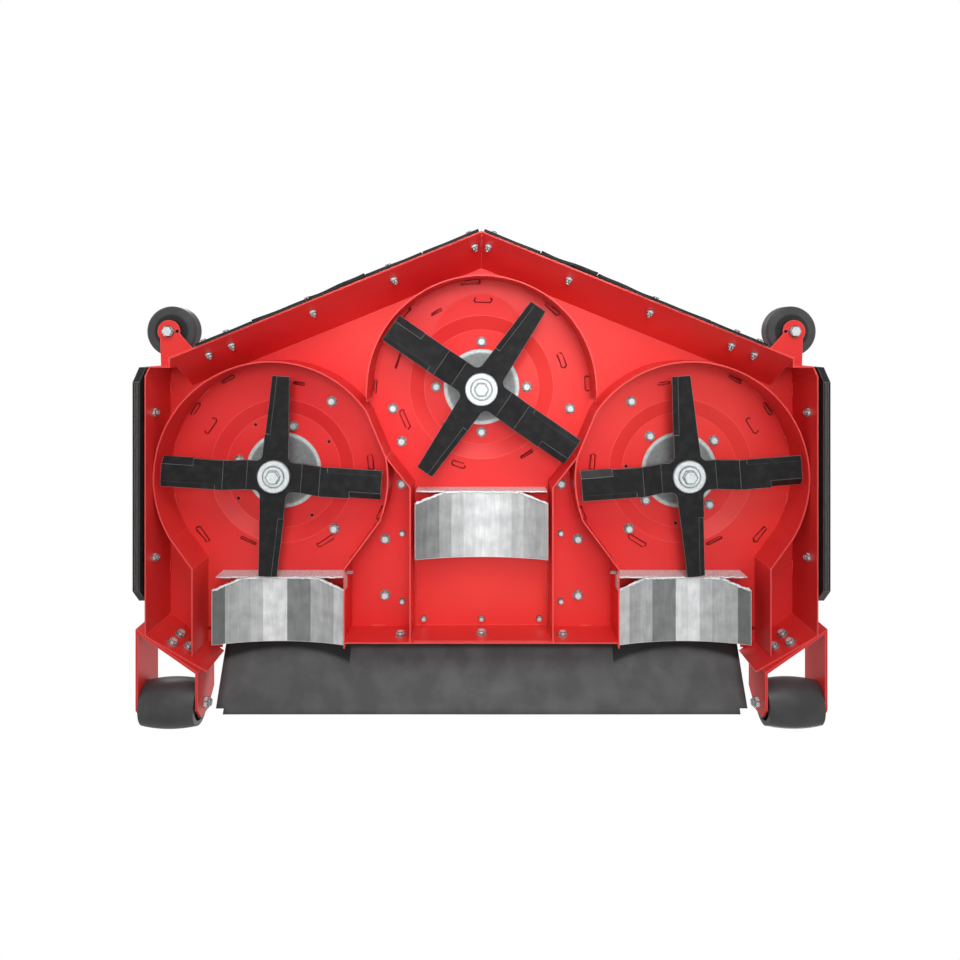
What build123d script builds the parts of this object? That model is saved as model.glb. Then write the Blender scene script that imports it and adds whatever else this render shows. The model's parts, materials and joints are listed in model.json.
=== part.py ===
from build123d import *
import os
from math import acos, atan2, cos, degrees, hypot, pi, radians, sin, sqrt, tan

# A three spindle, rear discharge mower deck, 60 inch class, in its working position.
# Z is up and the ground is at zero. The machine drives towards -Y, so its right hand is -X.
# Y distances are given from the centre spindle, whose own place sets the frame.

os.makedirs("parts", exist_ok=True)

# Sheets, walls and heights above the ground
sheet = 3.0
plate_z = 155.0
plate_top_z = plate_z + sheet
skirt_z = 14.0
wall_z = 50.0

# Spindle places
centre_spindle_y = -213.6
side_spindle_x = 508.0
side_spindle_y = centre_spindle_y + 213.5
spindles = {
    "left": (side_spindle_x, side_spindle_y),
    "centre": (0.0, centre_spindle_y),
    "right": (-side_spindle_x, side_spindle_y),
}
sides = {"left": 1, "right": -1}

# Front of the deck: two leaning aprons that meet at the nose
apron_angle = 22.1
apron_slope = tan(radians(apron_angle))
apron_setback = 67.0
nose_y = centre_spindle_y - 379.0
corner_x = 735.0
apron_height = plate_z - skirt_z
apron_wall = sheet / sin(atan2(apron_height, apron_setback))
apron_top_y = nose_y + apron_setback / cos(radians(apron_angle))

# Side skirts, folded at the front into a flange and at the rear into a corner plate
skirt_x = 795.0
flange_y = centre_spindle_y - 59.0
flange_x = 784.0
skirt_front_y = flange_y + 24.0
skirt_rear_y = centre_spindle_y + 577.0
corner_plate_x = 657.0
corner_plate_slope = 0.696
corner_plate_y = skirt_rear_y + (skirt_x - corner_plate_x) * corner_plate_slope
corner_plate_angle = degrees(atan2(corner_plate_slope, 1.0))

# Rear wall and inner walls
rear_wall_y = centre_spindle_y + 609.0
channel_x = 172.0
channel_kink_y = centre_spindle_y + 235.3
chute_inner_x = 331.0
chute_outer_x = 697.0
chute_kink_y = side_spindle_y + 218.0
side_ring_r = 282.0
centre_ring_r = 277.0
ring_outer_exit = 149.3
ring_inner_exit = 21.3

# Pressed dish round each spindle
dish_outer_r = 183.0
dish_inner_r = 147.0
dish_rise = 15.0
dish_floor_z = plate_z + dish_rise
dish_top_z = dish_floor_z + sheet

# Spindle stack
housing_boss_r = 96.0
housing_flange_r = 132.0
housing_flange = 10.0
housing_bolt_r = 116.0
housing_tube_r = 42.0
housing_top_z = 228.0
drain_hole_r = 137.0
bearing_r = 31.0
bearing_bore_r = 15.0
bearing_width = 16.0
lower_bearing_z = 178.0
upper_bearing_z = 206.0
shaft_r = bearing_bore_r - 0.05
seat_gap = 0.05
shaft_collar_r = 25.0
shaft_seat_r = 30.0
turn_gap = 1.0
fit_gap = 0.2
run_gap = 0.05

# Blade
blade_z = 80.0
blade_sheet = 6.4
blade_tip_r = 266.5
blade_width = 72.0
blade_drop = 26.0
blade_bend_start = 67.0
blade_bend_end = 117.0
flat_arm_tip = 246.0
flat_arm_root_w = 66.0
flat_arm_tip_w = 44.0
arm_fillet = 16.0
bevel_width = 13.0
bevel_height = 5.0
flat_bevel_start = 103.0
bent_bevel_start = 135.0
wing_start = 190.0
wing_width = 17.0
wing_rise = 13.0
blade_turn = {"left": -4.3, "centre": 34.5, "right": 3.8}
housing_turn = {"left": 49.0, "centre": 0.0, "right": 13.0}
blade_washer_r = 40.0
blade_washer = 6.0
blade_bolt_r = 10.0
blade_bolt_head = 12.5
blade_bolt_af = 30.0
blade_bolt_length = 46.0
blade_flange_r = 26.0
blade_flange = 3.0

# Belt drive above the deck
belt_z = 244.0
pulley_r = 78.0
pulley_width = 24.0
belt_outer_r = 76.0
belt_depth = 10.0
belt_width = 16.0
belt_inner_width = 10.5
belt_gap = 0.35
groove_bottom_r = 63.0
pulley_web = 8.0
pulley_hub_r = 28.0
idler_x = 225.0
idler_y = centre_spindle_y + 54.0
idler_r = 42.0
idler_flange_r = 48.0
idler_flange = 2.5
idler_hub_r = 14.0
idler_bolt_r = 6.0
shaft_nut_af = 36.0
shaft_nut = 10.0

# Gearbox on a strap over the centre pulley
strap_width = 120.0
strap = 6.0
strap_half_length = 200.0
strap_top_z = 272.0
strap_foot = 40.0
strap_hole_r = 30.0
gearbox_width = 116.0
gearbox_length = 140.0
gearbox_height = 84.0
gearbox_corner_r = 18.0
gearbox_base_r = 54.0
gearbox_base = 10.0
input_z_offset = 44.0
input_boss_r = 38.0
input_boss = 26.0
input_r = 12.7
input_length = 62.0
input_socket = 40.0
input_flange_r = 25.0

# Fasteners
m12_shank_r = 6.0
m12_hole_r = 6.5
m12_af = 18.0
m12_head = 7.5
m12_washer_r = 13.0
m12_washer = 2.5
m8_shank_r = 4.0
m8_hole_r = 4.5
m8_af = 13.0
m8_head = 5.5
m8_washer_r = 8.5
m8_washer = 1.6
thread_end = 5.0


def hex_r(across_flats):
    """Corner radius of a hexagon of this size."""
    return across_flats / 2 / cos(pi / 6)


def along_apron(side, distance, height=0.0, out=0.0):
    """A point at this distance from the nose along the apron's lower edge line."""
    a = radians(apron_angle)
    x = distance * cos(a) + out * sin(a)
    y = nose_y + distance * sin(a) - out * cos(a)
    return (side * x, y, height)


def bolt(grip, shank_r, af, head, washer_r, washer, nut):
    """A bolt with head and washer below its origin, and a nut at the grip's end."""
    with BuildPart() as whole:
        with BuildSketch(Plane.XY.offset(-washer - head)):
            RegularPolygon(radius=hex_r(af), side_count=6)
        extrude(amount=head)
        with BuildSketch(Plane.XY.offset(-washer)):
            Circle(washer_r)
        extrude(amount=washer)
        with BuildSketch():
            Circle(shank_r)
        extrude(amount=grip + nut + thread_end)
        with BuildSketch(Plane.XY.offset(grip)):
            RegularPolygon(radius=hex_r(af), side_count=6)
        extrude(amount=nut)
    return whole.part


def on_plane(plane, spots):
    """Locations at these spots of a plane."""
    return [plane.location * Location((x, y, 0)) for x, y in spots]


def belt_line(wheels):
    """Straight runs and arcs round circles given as (centre, signed radius), in order."""
    count = len(wheels)
    runs = []
    for i in range(count):
        (c1, r1), (c2, r2) = wheels[i], wheels[(i + 1) % count]
        span = hypot(c2[0] - c1[0], c2[1] - c1[1])
        runs.append(atan2(c2[1] - c1[1], c2[0] - c1[0]) - acos((r1 - r2) / span))

    def at(wheel, angle):
        centre, r = wheel
        return (centre[0] + r * cos(angle), centre[1] + r * sin(angle))

    for i, wheel in enumerate(wheels):
        arrive, leave = runs[i - 1], runs[i]
        turn = (leave - arrive) % (2 * pi) if wheel[1] > 0 else -((arrive - leave) % (2 * pi))
        ThreePointArc(at(wheel, arrive), at(wheel, arrive + turn / 2), at(wheel, leave))
        Line(at(wheel, leave), at(wheels[(i + 1) % count], leave))


def write(part, name):
    part.label = name
    export_step(part, f"parts/{name}.step")


# Places of the bolts through the deck plate, as (x, distance behind the centre spindle)
cover_bolts = [(381.0, 36.0), (375.0, 360.0)]
spacer_bolts = [(203.0, 246.0)]
tension_bolt = (-203.0, 138.0)
hitch_bolts = [(245.0, 386.0), (245.0, 529.0)]
small_bolts = [(202.0, 372.0), (202.0, 545.0)]
liner_bolts = [(-146.5, 588.0), (0.0, 588.0), (146.5, 588.0)]
rear_flap_spots = [205.0 * i for i in range(-3, 4)]


def on_deck(places):
    """Both sides' places of bolts that are given for one side."""
    return [(s * x, centre_spindle_y + y) for x, y in places for s in (1, -1)]


# Deck plate with its three dishes and the sloping rear lip
lip_y = centre_spindle_y + 616.0
lip_angle = 30.0
lip_length = 26.0
lip_half_width = 644.0
rear_corner_x = skirt_x - (lip_y - skirt_rear_y) / corner_plate_slope
lip_top = (0, lip_y + sheet * tan(radians(lip_angle / 2)), plate_top_z)
lip_face = Plane(origin=lip_top, x_dir=(1, 0, 0), z_dir=(0, sin(radians(lip_angle)), cos(radians(lip_angle))))
with BuildPart() as top_plate:
    with BuildSketch(Plane.XY.offset(plate_z)):
        with BuildLine():
            Polyline(
                (0, apron_top_y),
                (corner_x, apron_top_y + corner_x * apron_slope),
                (corner_x, flange_y),
                (flange_x, flange_y),
                (skirt_x, skirt_front_y),
                (skirt_x, skirt_rear_y),
                (rear_corner_x, lip_y),
                (0, lip_y),
            )
            mirror(about=Plane.YZ)
        make_face()
        with Locations(*spindles.values()):
            Circle(dish_outer_r, mode=Mode.SUBTRACT)
    extrude(amount=sheet)
    for x, y in spindles.values():
        with BuildSketch(Plane(origin=(x, y, 0), x_dir=(1, 0, 0), z_dir=(0, -1, 0))):
            Polygon(
                (housing_boss_r + turn_gap, dish_floor_z),
                (dish_inner_r, dish_floor_z),
                (dish_outer_r, plate_z),
                (dish_outer_r, plate_top_z),
                (dish_inner_r, dish_top_z),
                (housing_boss_r + turn_gap, dish_top_z),
                align=None,
            )
        revolve(axis=Axis((x, y, 0), (0, 0, 1)))
    with BuildSketch(Plane.YZ.offset(-lip_half_width)):
        Polygon(
            (lip_y - sheet, plate_z),
            (lip_y, plate_z),
            (lip_y + lip_length * cos(radians(lip_angle)), plate_z - lip_length * sin(radians(lip_angle))),
            (
                lip_y + lip_length * cos(radians(lip_angle)) + sheet * sin(radians(lip_angle)),
                plate_z - lip_length * sin(radians(lip_angle)) + sheet * cos(radians(lip_angle)),
            ),
            (lip_y + sheet * tan(radians(lip_angle / 2)), plate_top_z),
            (lip_y - sheet, plate_top_z),
            align=None,
        )
    extrude(amount=2 * lip_half_width)
    with BuildSketch(lip_face):
        for spot in rear_flap_spots:
            with Locations((spot, lip_length / 2)):
                Circle(m8_hole_r)
    extrude(amount=-2 * sheet, mode=Mode.SUBTRACT)
    with BuildSketch(Plane.XY.offset(plate_z)):
        with Locations(*on_deck(cover_bolts + spacer_bolts + hitch_bolts)):
            Circle(m12_hole_r)
        with Locations((tension_bolt[0], centre_spindle_y + tension_bolt[1])):
            Circle(m12_hole_r)
        with Locations(*[(x, centre_spindle_y + y) for x, y in liner_bolts]):
            Circle(m8_hole_r)
        with Locations(*on_deck([(idler_x, idler_y - centre_spindle_y)])):
            Circle(m12_hole_r)
        with Locations(*on_deck(small_bolts)):
            Circle(m8_hole_r)
    extrude(amount=sheet, mode=Mode.SUBTRACT)
    for name, (x, y) in spindles.items():
        with BuildSketch(Plane(origin=(x, y, dish_floor_z))):
            with PolarLocations(housing_bolt_r, 4, start_angle=housing_turn[name]):
                Circle(m12_hole_r)
            with PolarLocations(drain_hole_r, 4, start_angle=housing_turn[name] + 45):
                Circle(m8_hole_r)
        extrude(amount=sheet, mode=Mode.SUBTRACT)
write(top_plate.part, "top_plate")

# Front aprons, each leaning back from its lower edge
flap_bolt_height = 54.0
flap_bolt_spots = [28.0, 238.0, 449.0, 661.0, 720.0]
apron_run = corner_x / cos(radians(apron_angle))


def apron_setback_at(height):
    """How far the apron's outer face has leaned back at this height."""
    return apron_setback * (height - skirt_z) / apron_height


for name, side in sides.items():
    a = radians(apron_angle)
    with BuildPart() as apron:
        section = Plane(
            origin=along_apron(side, -60.0),
            x_dir=(-side * sin(a), cos(a), 0),
            z_dir=(side * cos(a), sin(a), 0),
        )
        lift = side
        with BuildSketch(section):
            Polygon(
                (0, lift * skirt_z),
                (apron_wall, lift * skirt_z),
                (apron_setback + apron_wall, lift * plate_z),
                (apron_setback, lift * plate_z),
                align=None,
            )
        extrude(amount=apron_run + 120.0)
        split(bisect_by=Plane.YZ, keep=Keep.TOP if side > 0 else Keep.BOTTOM)
        split(bisect_by=Plane.YZ.offset(side * corner_x), keep=Keep.BOTTOM if side > 0 else Keep.TOP)
        for spot in flap_bolt_spots:
            hole = Plane(
                origin=along_apron(side, spot, flap_bolt_height),
                x_dir=(0, 0, 1),
                z_dir=(-side * sin(a), cos(a), 0),
            )
            with BuildSketch(hole):
                Circle(m8_hole_r)
            extrude(amount=2 * apron_setback, mode=Mode.SUBTRACT)
    write(apron.part, f"front_apron_{name}")

# Side skirts
skid_bolt_spots = [54.0, 404.0]
skid_bolt_z = 58.0
corner_bolt_spots = [(59.0, 50.0), (58.0, 100.0), (94.0, 75.0)]
corner_plate_end_z = 40.0
for name, side in sides.items():
    b = radians(corner_plate_angle)
    with BuildPart() as skirt:
        with BuildSketch(Plane.XY.offset(skirt_z)):
            with BuildLine():
                outer = Polyline(
                    (side * (corner_x + 0.1), flange_y),
                    (side * flange_x, flange_y),
                    (side * skirt_x, skirt_front_y),
                    (side * skirt_x, skirt_rear_y),
                    (side * corner_plate_x, corner_plate_y),
                )
                offset(outer, amount=sheet, side=Side.LEFT if side > 0 else Side.RIGHT, kind=Kind.INTERSECTION)
            make_face()
        extrude(amount=apron_height)
        meet_z = skirt_z + apron_height * (flange_y - nose_y - corner_x * apron_slope) / (apron_top_y - nose_y)
        edge_y = nose_y + corner_x * apron_slope
        with BuildSketch(Plane.YZ.offset(side * (corner_x + 0.1))):
            Polygon((edge_y, skirt_z), (flange_y, skirt_z), (flange_y, meet_z), align=None)
            Polygon(
                (flange_y, meet_z),
                (apron_top_y + corner_x * apron_slope, plate_z),
                (flange_y, plate_z),
                align=None,
            )
        extrude(amount=side * sheet)
        with BuildSketch(Plane.XZ.offset(-corner_plate_y - 10)):
            Polygon(
                (side * (skirt_x - 4 * sheet), skirt_z - 1),
                (side * (corner_plate_x - 20), skirt_z - 1),
                (side * (corner_plate_x - 20), corner_plate_end_z),
                align=None,
            )
        extrude(amount=corner_plate_y + 10 - skirt_rear_y - 2 * sheet, mode=Mode.SUBTRACT)
        with BuildSketch(Plane.YZ.offset(side * (skirt_x - 2 * sheet))):
            for spot in skid_bolt_spots:
                with Locations((centre_spindle_y + spot, skid_bolt_z)):
                    Circle(m12_hole_r)
        extrude(amount=side * 4 * sheet, mode=Mode.SUBTRACT)
        face = Plane(
            origin=(side * skirt_x, skirt_rear_y, 0),
            x_dir=(-side * cos(b), sin(b), 0),
            z_dir=(side * sin(b), cos(b), 0),
        )
        for along, height in corner_bolt_spots:
            with BuildSketch(face.offset(-2 * sheet)):
                with Locations((along, side * height)):
                    Circle(m12_hole_r)
            extrude(amount=4 * sheet, mode=Mode.SUBTRACT)
    write(skirt.part, f"side_skirt_{name}")

# Rear wall between the two discharge chutes
rear_wall_bolts = [(0.0, 95.0), (200.0, 95.0), (-200.0, 95.0)]
wall_clear = sheet / 2
with BuildPart() as rear_wall:
    with BuildSketch(Plane.XZ.offset(-rear_wall_y - sheet / 2)):
        with Locations((0, (wall_z + plate_z) / 2)):
            Rectangle(2 * (chute_inner_x - wall_clear), plate_z - wall_z)
        with Locations(*rear_wall_bolts):
            Circle(m12_hole_r, mode=Mode.SUBTRACT)
    extrude(amount=sheet)
write(rear_wall.part, "rear_wall")

# Side chamber baffles: a rolled strip that leaves its ring for the chute at both ends.
# Where two chambers are nearest, the ring is cut straight and both share that wall.
shared_wall_r = hypot(side_spindle_x, side_spindle_y - centre_spindle_y) / 2
shared_lean = degrees(atan2(centre_spindle_y - side_spindle_y, -side_spindle_x))
shared_half = degrees(acos(shared_wall_r / side_ring_r))
chute_tail_y = centre_spindle_y + 621.0
for name, side in sides.items():
    cx, cy = spindles[name]

    def ring_point(angle, radius=side_ring_r):
        """A point on this side's ring, its angle taken as on the right hand side."""
        return (cx - side * radius * cos(radians(angle)), cy + radius * sin(radians(angle)))

    near = -(180 - abs(shared_lean))
    start, stop = near - shared_half, near + shared_half
    outer_end_y = skirt_rear_y + (skirt_x - chute_outer_x) * corner_plate_slope - 2 * sheet
    with BuildPart() as baffle:
        with BuildSketch(Plane.XY.offset(wall_z)):
            with BuildLine():
                a1 = ring_point(ring_outer_exit)
                mid1 = ring_point((ring_outer_exit - 360 + start) / 2)
                b1 = ring_point(start)
                b2 = ring_point(stop)
                mid2 = ring_point((stop + ring_inner_exit) / 2)
                a2 = ring_point(ring_inner_exit)
                l1 = Line((side * chute_outer_x, outer_end_y), (side * chute_outer_x, chute_kink_y))
                l2 = Line(l1 @ 1, a1)
                l3 = ThreePointArc(a1, mid1, b1)
                l4 = Line(b1, b2)
                l5 = ThreePointArc(b2, mid2, a2)
                l6 = Line(a2, (side * chute_inner_x, chute_kink_y))
                l7 = Line(l6 @ 1, (side * chute_inner_x, chute_tail_y))
                offset(amount=sheet / 2, kind=Kind.INTERSECTION)
            make_face()
        extrude(amount=plate_z - wall_z)
        with BuildSketch(Plane.YZ.offset(side * (chute_inner_x - 2 * sheet))):
            Polygon(
                (rear_wall_y + 2 * sheet, plate_z + 1),
                (rear_wall_y + 2 * sheet, plate_z - sheet),
                (chute_tail_y + 2, plate_z - 8 * sheet),
                (chute_tail_y + 2, plate_z + 1),
                align=None,
            )
        extrude(amount=side * 4 * sheet, mode=Mode.SUBTRACT)
    write(baffle.part, f"baffle_{name}")

# Centre chamber: a front strip that ends on the walls shared with the side chambers
shared_face_r = shared_wall_r - sheet / 2 - 0.1
cut_size = 2 * centre_ring_r
with BuildPart() as baffle_centre:
    with BuildSketch(Plane(origin=(0, centre_spindle_y, wall_z))):
        Circle(centre_ring_r + sheet / 2)
        Circle(centre_ring_r - sheet / 2, mode=Mode.SUBTRACT)
        for side in (1, -1):
            lean = radians(90 - side * (90 - (180 - abs(shared_lean))))
            reach = shared_face_r + cut_size / 2
            with Locations(Location((reach * cos(lean), reach * sin(lean), 0), (0, 0, degrees(lean)))):
                Rectangle(cut_size, cut_size, mode=Mode.SUBTRACT)
        with Locations((0, cut_size / 2)):
            Rectangle(cut_size, cut_size, mode=Mode.SUBTRACT)
    extrude(amount=plate_z - wall_z)
write(baffle_centre.part, "baffle_centre")

# Walls of the centre channel, from the shared walls back to the rear wall
for name, side in sides.items():
    lean = radians(90 - side * (90 - (180 - abs(shared_lean))))
    with BuildPart() as channel_wall:
        with BuildSketch(Plane.XY.offset(wall_z)):
            with BuildLine():
                Polyline(
                    (side * (channel_x + 62.0), channel_kink_y - 78.0),
                    (side * channel_x, channel_kink_y),
                    (side * channel_x, rear_wall_y - sheet / 2),
                )
                offset(amount=sheet / 2, kind=Kind.INTERSECTION)
            make_face()
            with Locations(spindles[name]):
                Circle(side_ring_r + sheet / 2 + 0.1, mode=Mode.SUBTRACT)
            reach = shared_face_r + cut_size / 2
            spot = (reach * cos(lean), centre_spindle_y + reach * sin(lean), 0)
            with Locations(Location(spot, (0, 0, degrees(lean)))):
                Rectangle(cut_size, channel_x, mode=Mode.SUBTRACT)
            with Locations((0, rear_wall_y - sheet / 2 + channel_x)):
                Rectangle(4 * channel_x, 2 * channel_x, mode=Mode.SUBTRACT)
        extrude(amount=plate_z - wall_z)
    write(channel_wall.part, f"channel_wall_{name}")

# Discharge hoods: a facetted arched roof with a straight front flange
hood_sheet = 2.0
hood_half = 162.5
hood_mid_z = 100.0
hood_edge_z = 73.0
hood_facets = 11
hood_corner = (68.0, 24.0)
hood_rise = hood_mid_z - hood_edge_z
hood_r = (hood_half**2 + hood_rise**2) / (2 * hood_rise)
chute_hood_x = chute_inner_x + sheet / 2 + 0.5 + hood_half
hood_places = {
    "left": (chute_hood_x, centre_spindle_y + 466.0, centre_spindle_y + 624.0),
    "centre": (0.0, centre_spindle_y + 254.0, centre_spindle_y + 416.0),
    "right": (-chute_hood_x, centre_spindle_y + 466.0, centre_spindle_y + 624.0),
}


def hood_z(x):
    """Height of the arch's underside at this distance from its middle."""
    return hood_mid_z - hood_r + sqrt(hood_r**2 - x**2)


for name, (hood_x, front_y, back_y) in hood_places.items():
    stations = [hood_half * (2 * i / hood_facets - 1) for i in range(hood_facets + 1)]
    under = [(x, hood_z(x)) for x in stations]
    over = [(x, z + hood_sheet) for x, z in reversed(under)]
    with BuildPart() as hood:
        with BuildSketch(Plane(origin=(hood_x, front_y, 0), x_dir=(1, 0, 0), z_dir=(0, -1, 0))):
            Polygon(*under, *over, align=None)
        extrude(amount=front_y - back_y)
        with BuildSketch(Plane(origin=(hood_x, front_y, hood_edge_z - 1))):
            for s in (1, -1):
                Polygon(
                    (s * (hood_half + 1), -1),
                    (s * (hood_half - hood_corner[0]), -1),
                    (s * (hood_half + 1), hood_corner[1]),
                    align=None,
                )
        extrude(amount=hood_rise + 2 * hood_sheet, mode=Mode.SUBTRACT)
        with BuildSketch(Plane(origin=(hood_x, front_y + hood_sheet, 0), x_dir=(1, 0, 0), z_dir=(0, -1, 0))):
            with Locations((0, (hood_mid_z + plate_z) / 2)):
                Rectangle(2 * hood_half, plate_z - hood_mid_z)
        extrude(amount=hood_sheet)
    write(hood.part, f"discharge_hood_{name}")

# Liner sheet behind the centre hood, folded down against the rear wall
liner_half = 164.0
liner_front_y = centre_spindle_y + 300.0
liner_back_y = rear_wall_y - sheet / 2
with BuildPart() as rear_liner:
    with BuildSketch(Plane.YZ.offset(-liner_half)):
        Polygon(
            (liner_front_y, plate_z),
            (liner_back_y, plate_z),
            (liner_back_y, wall_z + sheet),
            (liner_back_y - sheet, wall_z + sheet),
            (liner_back_y - sheet, plate_z - sheet),
            (liner_front_y, plate_z - sheet),
            align=None,
        )
    extrude(amount=2 * liner_half)
    with BuildSketch(Plane.XZ.offset(-liner_back_y)):
        with Locations(rear_wall_bolts[0]):
            Circle(m12_hole_r)
    extrude(amount=sheet, mode=Mode.SUBTRACT)
    with BuildSketch(Plane.XY.offset(plate_z)):
        with Locations(*[(x, centre_spindle_y + y) for x, y in liner_bolts]):
            Circle(m8_hole_r)
    extrude(amount=-sheet, mode=Mode.SUBTRACT)
write(rear_liner.part, "rear_liner")

# Spindle housings, turned castings bolted on the dish floors
for name, (x, y) in spindles.items():
    with BuildPart() as housing:
        with BuildSketch(Plane(origin=(x, y, 0), x_dir=(1, 0, 0), z_dir=(0, -1, 0))):
            Polygon(
                (bearing_r + seat_gap, dish_floor_z),
                (housing_boss_r, dish_floor_z),
                (housing_boss_r, dish_top_z),
                (housing_flange_r, dish_top_z),
                (housing_flange_r, dish_top_z + housing_flange),
                (housing_boss_r, dish_top_z + housing_flange),
                (housing_tube_r, dish_top_z + 2.4 * housing_flange),
                (housing_tube_r, housing_top_z),
                (bearing_r + seat_gap, housing_top_z),
                (bearing_r + seat_gap, upper_bearing_z),
                (bearing_r - 4, upper_bearing_z),
                (bearing_r - 4, lower_bearing_z + bearing_width),
                (bearing_r + seat_gap, lower_bearing_z + bearing_width),
                align=None,
            )
        revolve(axis=Axis((x, y, 0), (0, 0, 1)))
        with BuildSketch(Plane(origin=(x, y, dish_top_z))):
            with PolarLocations(housing_bolt_r, 4, start_angle=housing_turn[name]):
                Circle(m12_hole_r)
        extrude(amount=housing_flange, mode=Mode.SUBTRACT)
    write(housing.part, f"spindle_housing_{name}")

# Two ball bearings in each housing
with BuildPart() as bearings:
    for x, y in spindles.values():
        for base in (lower_bearing_z, upper_bearing_z):
            with BuildSketch(Plane(origin=(x, y, base))):
                Circle(bearing_r)
                Circle(bearing_bore_r, mode=Mode.SUBTRACT)
            extrude(amount=bearing_width)
write(bearings.part, "spindle_bearings")

# Spindle shafts. The centre one runs on up into the gearbox.
pulley_hub_z = belt_z - pulley_width / 2 - 2.0
pulley_top_z = belt_z + pulley_width / 2 + 2.0
blade_top_z = blade_z + blade_sheet
side_shaft_top_z = pulley_top_z + shaft_nut + 3.0
centre_shaft_top_z = strap_top_z + 28.0
for name, (x, y) in spindles.items():
    top = centre_shaft_top_z if name == "centre" else side_shaft_top_z
    with BuildPart() as shaft:
        with BuildSketch(Plane(origin=(x, y, 0), x_dir=(1, 0, 0), z_dir=(0, -1, 0))):
            Polygon(
                (blade_bolt_r + fit_gap, blade_top_z),
                (shaft_seat_r, blade_top_z),
                (shaft_seat_r, blade_top_z + blade_sheet),
                (shaft_collar_r, blade_top_z + 2 * blade_sheet),
                (shaft_collar_r, lower_bearing_z - 0.4),
                (shaft_r, lower_bearing_z - 0.4),
                (shaft_r, top),
                (0, top),
                (0, blade_z + blade_bolt_length),
                (blade_bolt_r + fit_gap, blade_z + blade_bolt_length),
                align=None,
            )
        revolve(axis=Axis((x, y, 0), (0, 0, 1)))
    write(shaft.part, f"spindle_shaft_{name}")

# One half of the blade: a flat tapered arm and a stepped arm with a lifting wing
with BuildPart() as half_blade:
    with BuildSketch():
        with BuildLine():
            Polyline(
                (0, -flat_arm_root_w / 2),
                (blade_bend_start, -blade_width / 2),
                (blade_bend_start, blade_width / 2),
                (flat_arm_root_w / 2, blade_width / 2),
                (flat_arm_tip_w / 2, flat_arm_tip),
                (-flat_arm_tip_w / 2, flat_arm_tip),
                (-flat_arm_root_w / 2, blade_width / 2),
                (-blade_width / 2, 0),
                (0, -flat_arm_root_w / 2),
            )
        make_face()
    extrude(amount=blade_sheet)
    bend_shift = blade_sheet * tan(atan2(blade_drop, blade_bend_end - blade_bend_start) / 2)
    with BuildSketch(Plane.XZ.offset(-blade_width / 2)):
        Polygon(
            (0, 0),
            (blade_bend_start, 0),
            (blade_bend_end, -blade_drop),
            (blade_tip_r, -blade_drop),
            (blade_tip_r, blade_sheet - blade_drop),
            (blade_bend_end + bend_shift, blade_sheet - blade_drop),
            (blade_bend_start + bend_shift, blade_sheet),
            (0, blade_sheet),
            align=None,
        )
    extrude(amount=blade_width)
    wing_y = blade_width / 2 - wing_width
    with BuildSketch(Plane.YZ.offset(wing_start)):
        Polygon(
            (wing_y, -blade_drop - 1),
            (wing_y + wing_width + 1, -blade_drop - 1),
            (wing_y + wing_width + 1, blade_sheet - blade_drop + 1),
            (wing_y, blade_sheet - blade_drop + 1),
            align=None,
        )
    extrude(amount=blade_tip_r, mode=Mode.SUBTRACT)
    with BuildSketch(Plane.YZ.offset(wing_start)):
        Polygon(
            (wing_y, -blade_drop),
            (wing_y + wing_width, wing_rise - blade_drop),
            (wing_y + wing_width, wing_rise + blade_sheet - blade_drop),
            (wing_y, blade_sheet - blade_drop),
            align=None,
        )
    extrude(amount=blade_tip_r - wing_start)
    taper = atan2(flat_arm_root_w / 2 - flat_arm_tip_w / 2, flat_arm_tip - blade_width / 2)
    flat_edge_x = flat_arm_root_w / 2 - (flat_bevel_start - blade_width / 2) * tan(taper)
    for edge, along, inward, length in (
        ((flat_edge_x, flat_bevel_start, 0), (-sin(taper), cos(taper), 0), (-cos(taper), -sin(taper), 0), 200.0),
        ((bent_bevel_start, -blade_width / 2, -blade_drop), (1, 0, 0), (0, 1, 0), 200.0),
    ):
        up = 1 if inward[0] else -1
        with BuildSketch(Plane(origin=edge, x_dir=inward, z_dir=along)):
            Polygon((-2, up * 1.15 * bevel_height), (-2, -2 * up), (bevel_width, 0), align=None)
        extrude(amount=length, mode=Mode.SUBTRACT)

for name, (x, y) in spindles.items():
    with BuildPart() as blade:
        add(half_blade.part)
        add(half_blade.part, rotation=(0, 0, 180))
        concave = blade.edges().filter_by(Axis.Z).filter_by(
            lambda e: abs(abs(e.center().X) - flat_arm_root_w / 2) < 1 and abs(abs(e.center().Y) - blade_width / 2) < 1
        )
        fillet(concave, radius=arm_fillet)
        with BuildSketch():
            Circle(blade_bolt_r + fit_gap)
        extrude(amount=blade_sheet, mode=Mode.SUBTRACT)
    placed = blade.part.moved(Location((x, y, blade_z), (0, 0, blade_turn[name])))
    write(placed, f"blade_{name}")
    with BuildPart() as blade_bolt:
        with BuildSketch(Plane(origin=(x, y, blade_z - blade_washer))):
            Circle(blade_washer_r)
            Circle(blade_bolt_r + fit_gap, mode=Mode.SUBTRACT)
        extrude(amount=blade_washer)
        with BuildSketch(Plane(origin=(x, y, blade_z - blade_washer))):
            Circle(blade_flange_r)
        extrude(amount=-blade_flange)
        with BuildSketch(Plane(origin=(x, y, blade_z - blade_washer))):
            RegularPolygon(radius=hex_r(blade_bolt_af), side_count=6)
        extrude(amount=-blade_bolt_head)
        with BuildSketch(Plane(origin=(x, y, blade_z - blade_washer))):
            Circle(blade_bolt_r)
        extrude(amount=blade_bolt_length)
    write(blade_bolt.part, f"blade_bolt_{name}")

# Spindle pulleys with one V groove, and the nut on the two side shafts
belt_flank = (belt_width - belt_inner_width) / 2 / belt_depth


def groove_half(r):
    """Half width of the groove at this radius, the belt's own and the gap."""
    return belt_width / 2 + (r - belt_outer_r) * belt_flank + belt_gap


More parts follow.
